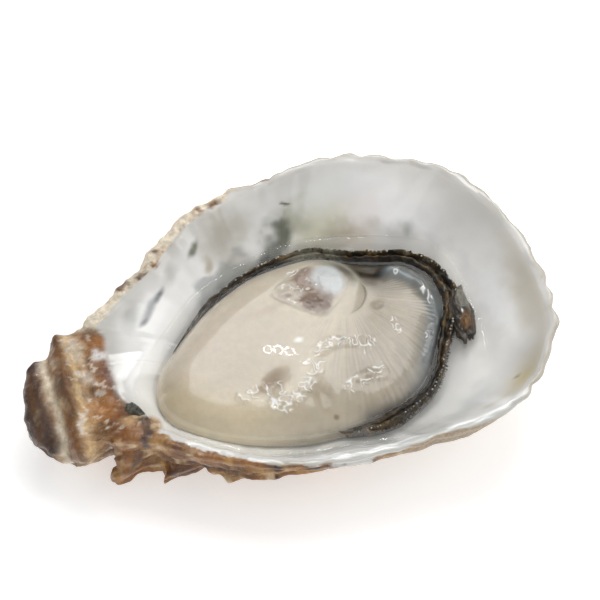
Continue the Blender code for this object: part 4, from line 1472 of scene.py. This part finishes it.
def mantle_material():
    """Dark, finely mottled and wet."""
    n = Nodes("mantle_dark")
    return n.principled(
        {
            "Base Color": n.mottled_tint(n.grain(1300.0, 5.0, 0.7), 0.55, 1.35),
            "Roughness": 0.35,
            "Normal": n.relief(n.grain(1600.0, 3.0), 0.5, 0.0003),
            "Specular IOR Level": 0.25,
            "Coat Weight": 0.55,
            "Coat Roughness": 0.04,
            "Coat IOR": 1.4,
            "Subsurface Weight": 0.15,
            "Subsurface Radius": (1.0, 0.7, 0.4),
            "Subsurface Scale": 0.0006,
        }
    )


def liquor_material():
    """Clear liquid: seen through, with a mirror film and a trace of milkiness."""
    n = Nodes("brine")
    haze = n.range(n.grain(90.0, 3.0), 0.3, 0.7, 0.95, 0.985)
    tone = n.add("CombineColor", {"Red": haze, "Green": haze, "Blue": 0.955}).outputs["Color"]
    through = n.add("BsdfTransparent", {"Color": tone}).outputs["BSDF"]
    shine = n.add("BsdfGlossy", {"Color": (1, 1, 1, 1), "Roughness": 0.05}).outputs["BSDF"]
    mirror = n.add("Fresnel", {"IOR": 1.25}).outputs["Fac"]
    milk = n.add("BsdfDiffuse", {"Color": (*linear(226, 224, 214), 1)}).outputs["BSDF"]
    cloudy = n.range(n.grain(60.0, 2.0), 0.3, 0.7, 0.02, 0.06)
    body = n.add("MixShader", {0: cloudy, 1: through, 2: milk}).outputs["Shader"]
    return n.finish(n.add("MixShader", {0: mirror, 1: body, 2: shine}).outputs["Shader"])


def floor_material():
    """Matt white that glows a little, so that the floor stays pale under the soft lamps."""
    n = Nodes("floor_white")
    shade = n.grey(n.range(n.grain(300.0), 0.3, 0.7, 0.995, 1.005))
    white = n.blend("MULTIPLY", 1.0, (*FLOOR_COLOUR, 1), shade)
    inputs = {"Base Color": white, "Roughness": 0.6}
    inputs.update({"Emission Color": white, "Emission Strength": FLOOR_GLOW})
    return n.principled(inputs)


# ---------------------------------------------------------------- floor, lights and camera

VIEW_AZIMUTH, VIEW_ELEVATION = -14.0, 57.0
LENS_MM = 100.0
CAMERA_DISTANCE = 371.1
VIEW_TARGET = (6.4, 7.1, 16.0)
# Soft lamps: name, azimuth, elevation, sides in metres, power in watts
SOFT_LAMPS = (
    ("key", 158, 60, (0.38, 0.3), 1.3),
    ("fill", 78, 42, (0.4, 0.4), 0.7),
    ("front", 0, 40, (0.5, 0.4), 0.45),
)
SOFT_LAMP_DISTANCE = 0.6
RING_LAMPS, RING_LAMP_STEP = 3, 6.4
RING_AZIMUTH, RING_ELEVATION = 166.2, 61.0
RING_DISTANCE, RING_RADIUS, RING_TUBE = 500.0, 10.5, 1.3
RING_POINTS, TUBE_POINTS = 32, 8
RING_STRENGTH = 60.0
WORLD_STRENGTH = 0.46
FLOOR_HALF, FLOOR_HEIGHT_M = 3.0, -0.0002
FLOOR_COLOUR, FLOOR_GLOW = (0.93, 0.93, 0.93), 0.42


def direction(azimuth, elevation):
    """Unit vector toward a place on the sky: azimuth 0 is -Y, and grows toward +X."""
    a, e = math.radians(azimuth), math.radians(elevation)
    return np.array((math.sin(a) * math.cos(e), -math.cos(a) * math.cos(e), math.sin(e)))


def add_aimed(name, data, azimuth, elevation, distance):
    """A camera or lamp that faces the view's target from a direction; the distance is in metres."""
    obj = bpy.data.objects.new(name, data)
    bpy.context.scene.collection.objects.link(obj)
    target = np.array(VIEW_TARGET) * UNIT
    place = target + direction(azimuth, elevation) * distance
    obj.location = Vector(place)
    toward = Vector(target) - Vector(place)
    obj.rotation_mode = "QUATERNION"
    obj.rotation_quaternion = toward.to_track_quat("-Z", "Y")
    return obj


def make_camera():
    data = bpy.data.cameras.new("camera")
    data.lens = LENS_MM
    data.sensor_width = 36.0
    data.clip_start = 0.01
    distance = CAMERA_DISTANCE * UNIT
    bpy.context.scene.camera = add_aimed("camera", data, VIEW_AZIMUTH, VIEW_ELEVATION, distance)


def make_soft_lamp(name, azimuth, elevation, sides, power):
    data = bpy.data.lights.new(name, "AREA")
    data.shape = "RECTANGLE"
    data.size, data.size_y = sides
    data.energy = power
    add_aimed(name, data, azimuth, elevation, SOFT_LAMP_DISTANCE)


def make_ring_lamp(name, azimuth, elevation):
    """A small ring-shaped studio lamp that faces the oyster and glints as a loop in wet flesh."""
    back = direction(azimuth, elevation)
    side = np.cross(back, (0, 0, 1))
    side /= np.linalg.norm(side)
    up = np.cross(side, back)
    centre = np.array(VIEW_TARGET) + back * RING_DISTANCE
    turn = np.linspace(0, 2 * np.pi, RING_POINTS, endpoint=False)[:, None, None]
    tube = np.linspace(0, 2 * np.pi, TUBE_POINTS, endpoint=False)[None, :, None]
    outward = np.cos(turn) * side + np.sin(turn) * up
    points = centre + outward * (RING_RADIUS + RING_TUBE * np.cos(tube)) + back * RING_TUBE * np.sin(tube)
    lamp = make_mesh(name, points.reshape(-1, 3), ring_faces(RING_POINTS, TUBE_POINTS, closed=True))
    n = Nodes(name)
    glow = n.range(n.grain(50.0), 0.0, 1.0, 0.98 * RING_STRENGTH, 1.02 * RING_STRENGTH)
    lamp.data.materials.append(n.finish(n.add("Emission", {"Strength": glow}).outputs["Emission"]))
    lamp.visible_camera = False


def make_floor():
    size = FLOOR_HALF
    corners = [(-size, -size, 0), (size, -size, 0), (size, size, 0), (-size, size, 0)]
    mesh = bpy.data.meshes.new("floor")
    mesh.from_pydata(corners, [], [(0, 1, 2, 3)])
    mesh.materials.append(floor_material())
    floor = bpy.data.objects.new("floor", mesh)
    bpy.context.scene.collection.objects.link(floor)
    floor.location.z = FLOOR_HEIGHT_M


def make_stage():
    world = bpy.data.worlds.new("studio")
    world.use_nodes = True
    background = world.node_tree.nodes["Background"]
    background.inputs["Color"].default_value = (1, 1, 1, 1)
    background.inputs["Strength"].default_value = WORLD_STRENGTH
    bpy.context.scene.world = world
    bpy.context.scene.view_settings.view_transform = "Standard"
    make_floor()
    for lamp in SOFT_LAMPS:
        make_soft_lamp(*lamp)
    for number in range(RING_LAMPS):
        step = (number - (RING_LAMPS - 1) / 2) * RING_LAMP_STEP
        make_ring_lamp(f"ring_lamp_{number + 1}", RING_AZIMUTH + step, RING_ELEVATION)


# ---------------------------------------------------------------- everything together

FLESH = flesh_material()
DARK_FLESH = mantle_material()
PIECES = (
    (make_shell, shell_material(), ("lower_shell",), "shell_nacre"),
    (make_belly, FLESH, ("visceral_mass",), "body_cream"),
    (make_muscle, FLESH, ("adductor_muscle",), "muscle_pearl"),
    (make_gills, FLESH, ("gills",), "gill_beige"),
    (make_frill, DARK_FLESH, ("mantle",), "mantle_dark"),
    (make_frill_beads, DARK_FLESH, ("mantle",), "mantle_dark"),
    (make_lobe, DARK_FLESH, ("mantle",), "mantle_dark"),
    (make_ligament, DARK_FLESH, ("hinge_ligament",), "ligament_horn"),
    (make_liquor, liquor_material(), ("liquor",), "brine"),
)
for make_piece, material, nodes, slot in PIECES:
    piece = make_piece()
    piece.data.materials.append(material)
    piece.visible_shadow = slot != "brine"
    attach(piece, "root")
    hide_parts(*nodes)

make_stage()
make_camera()
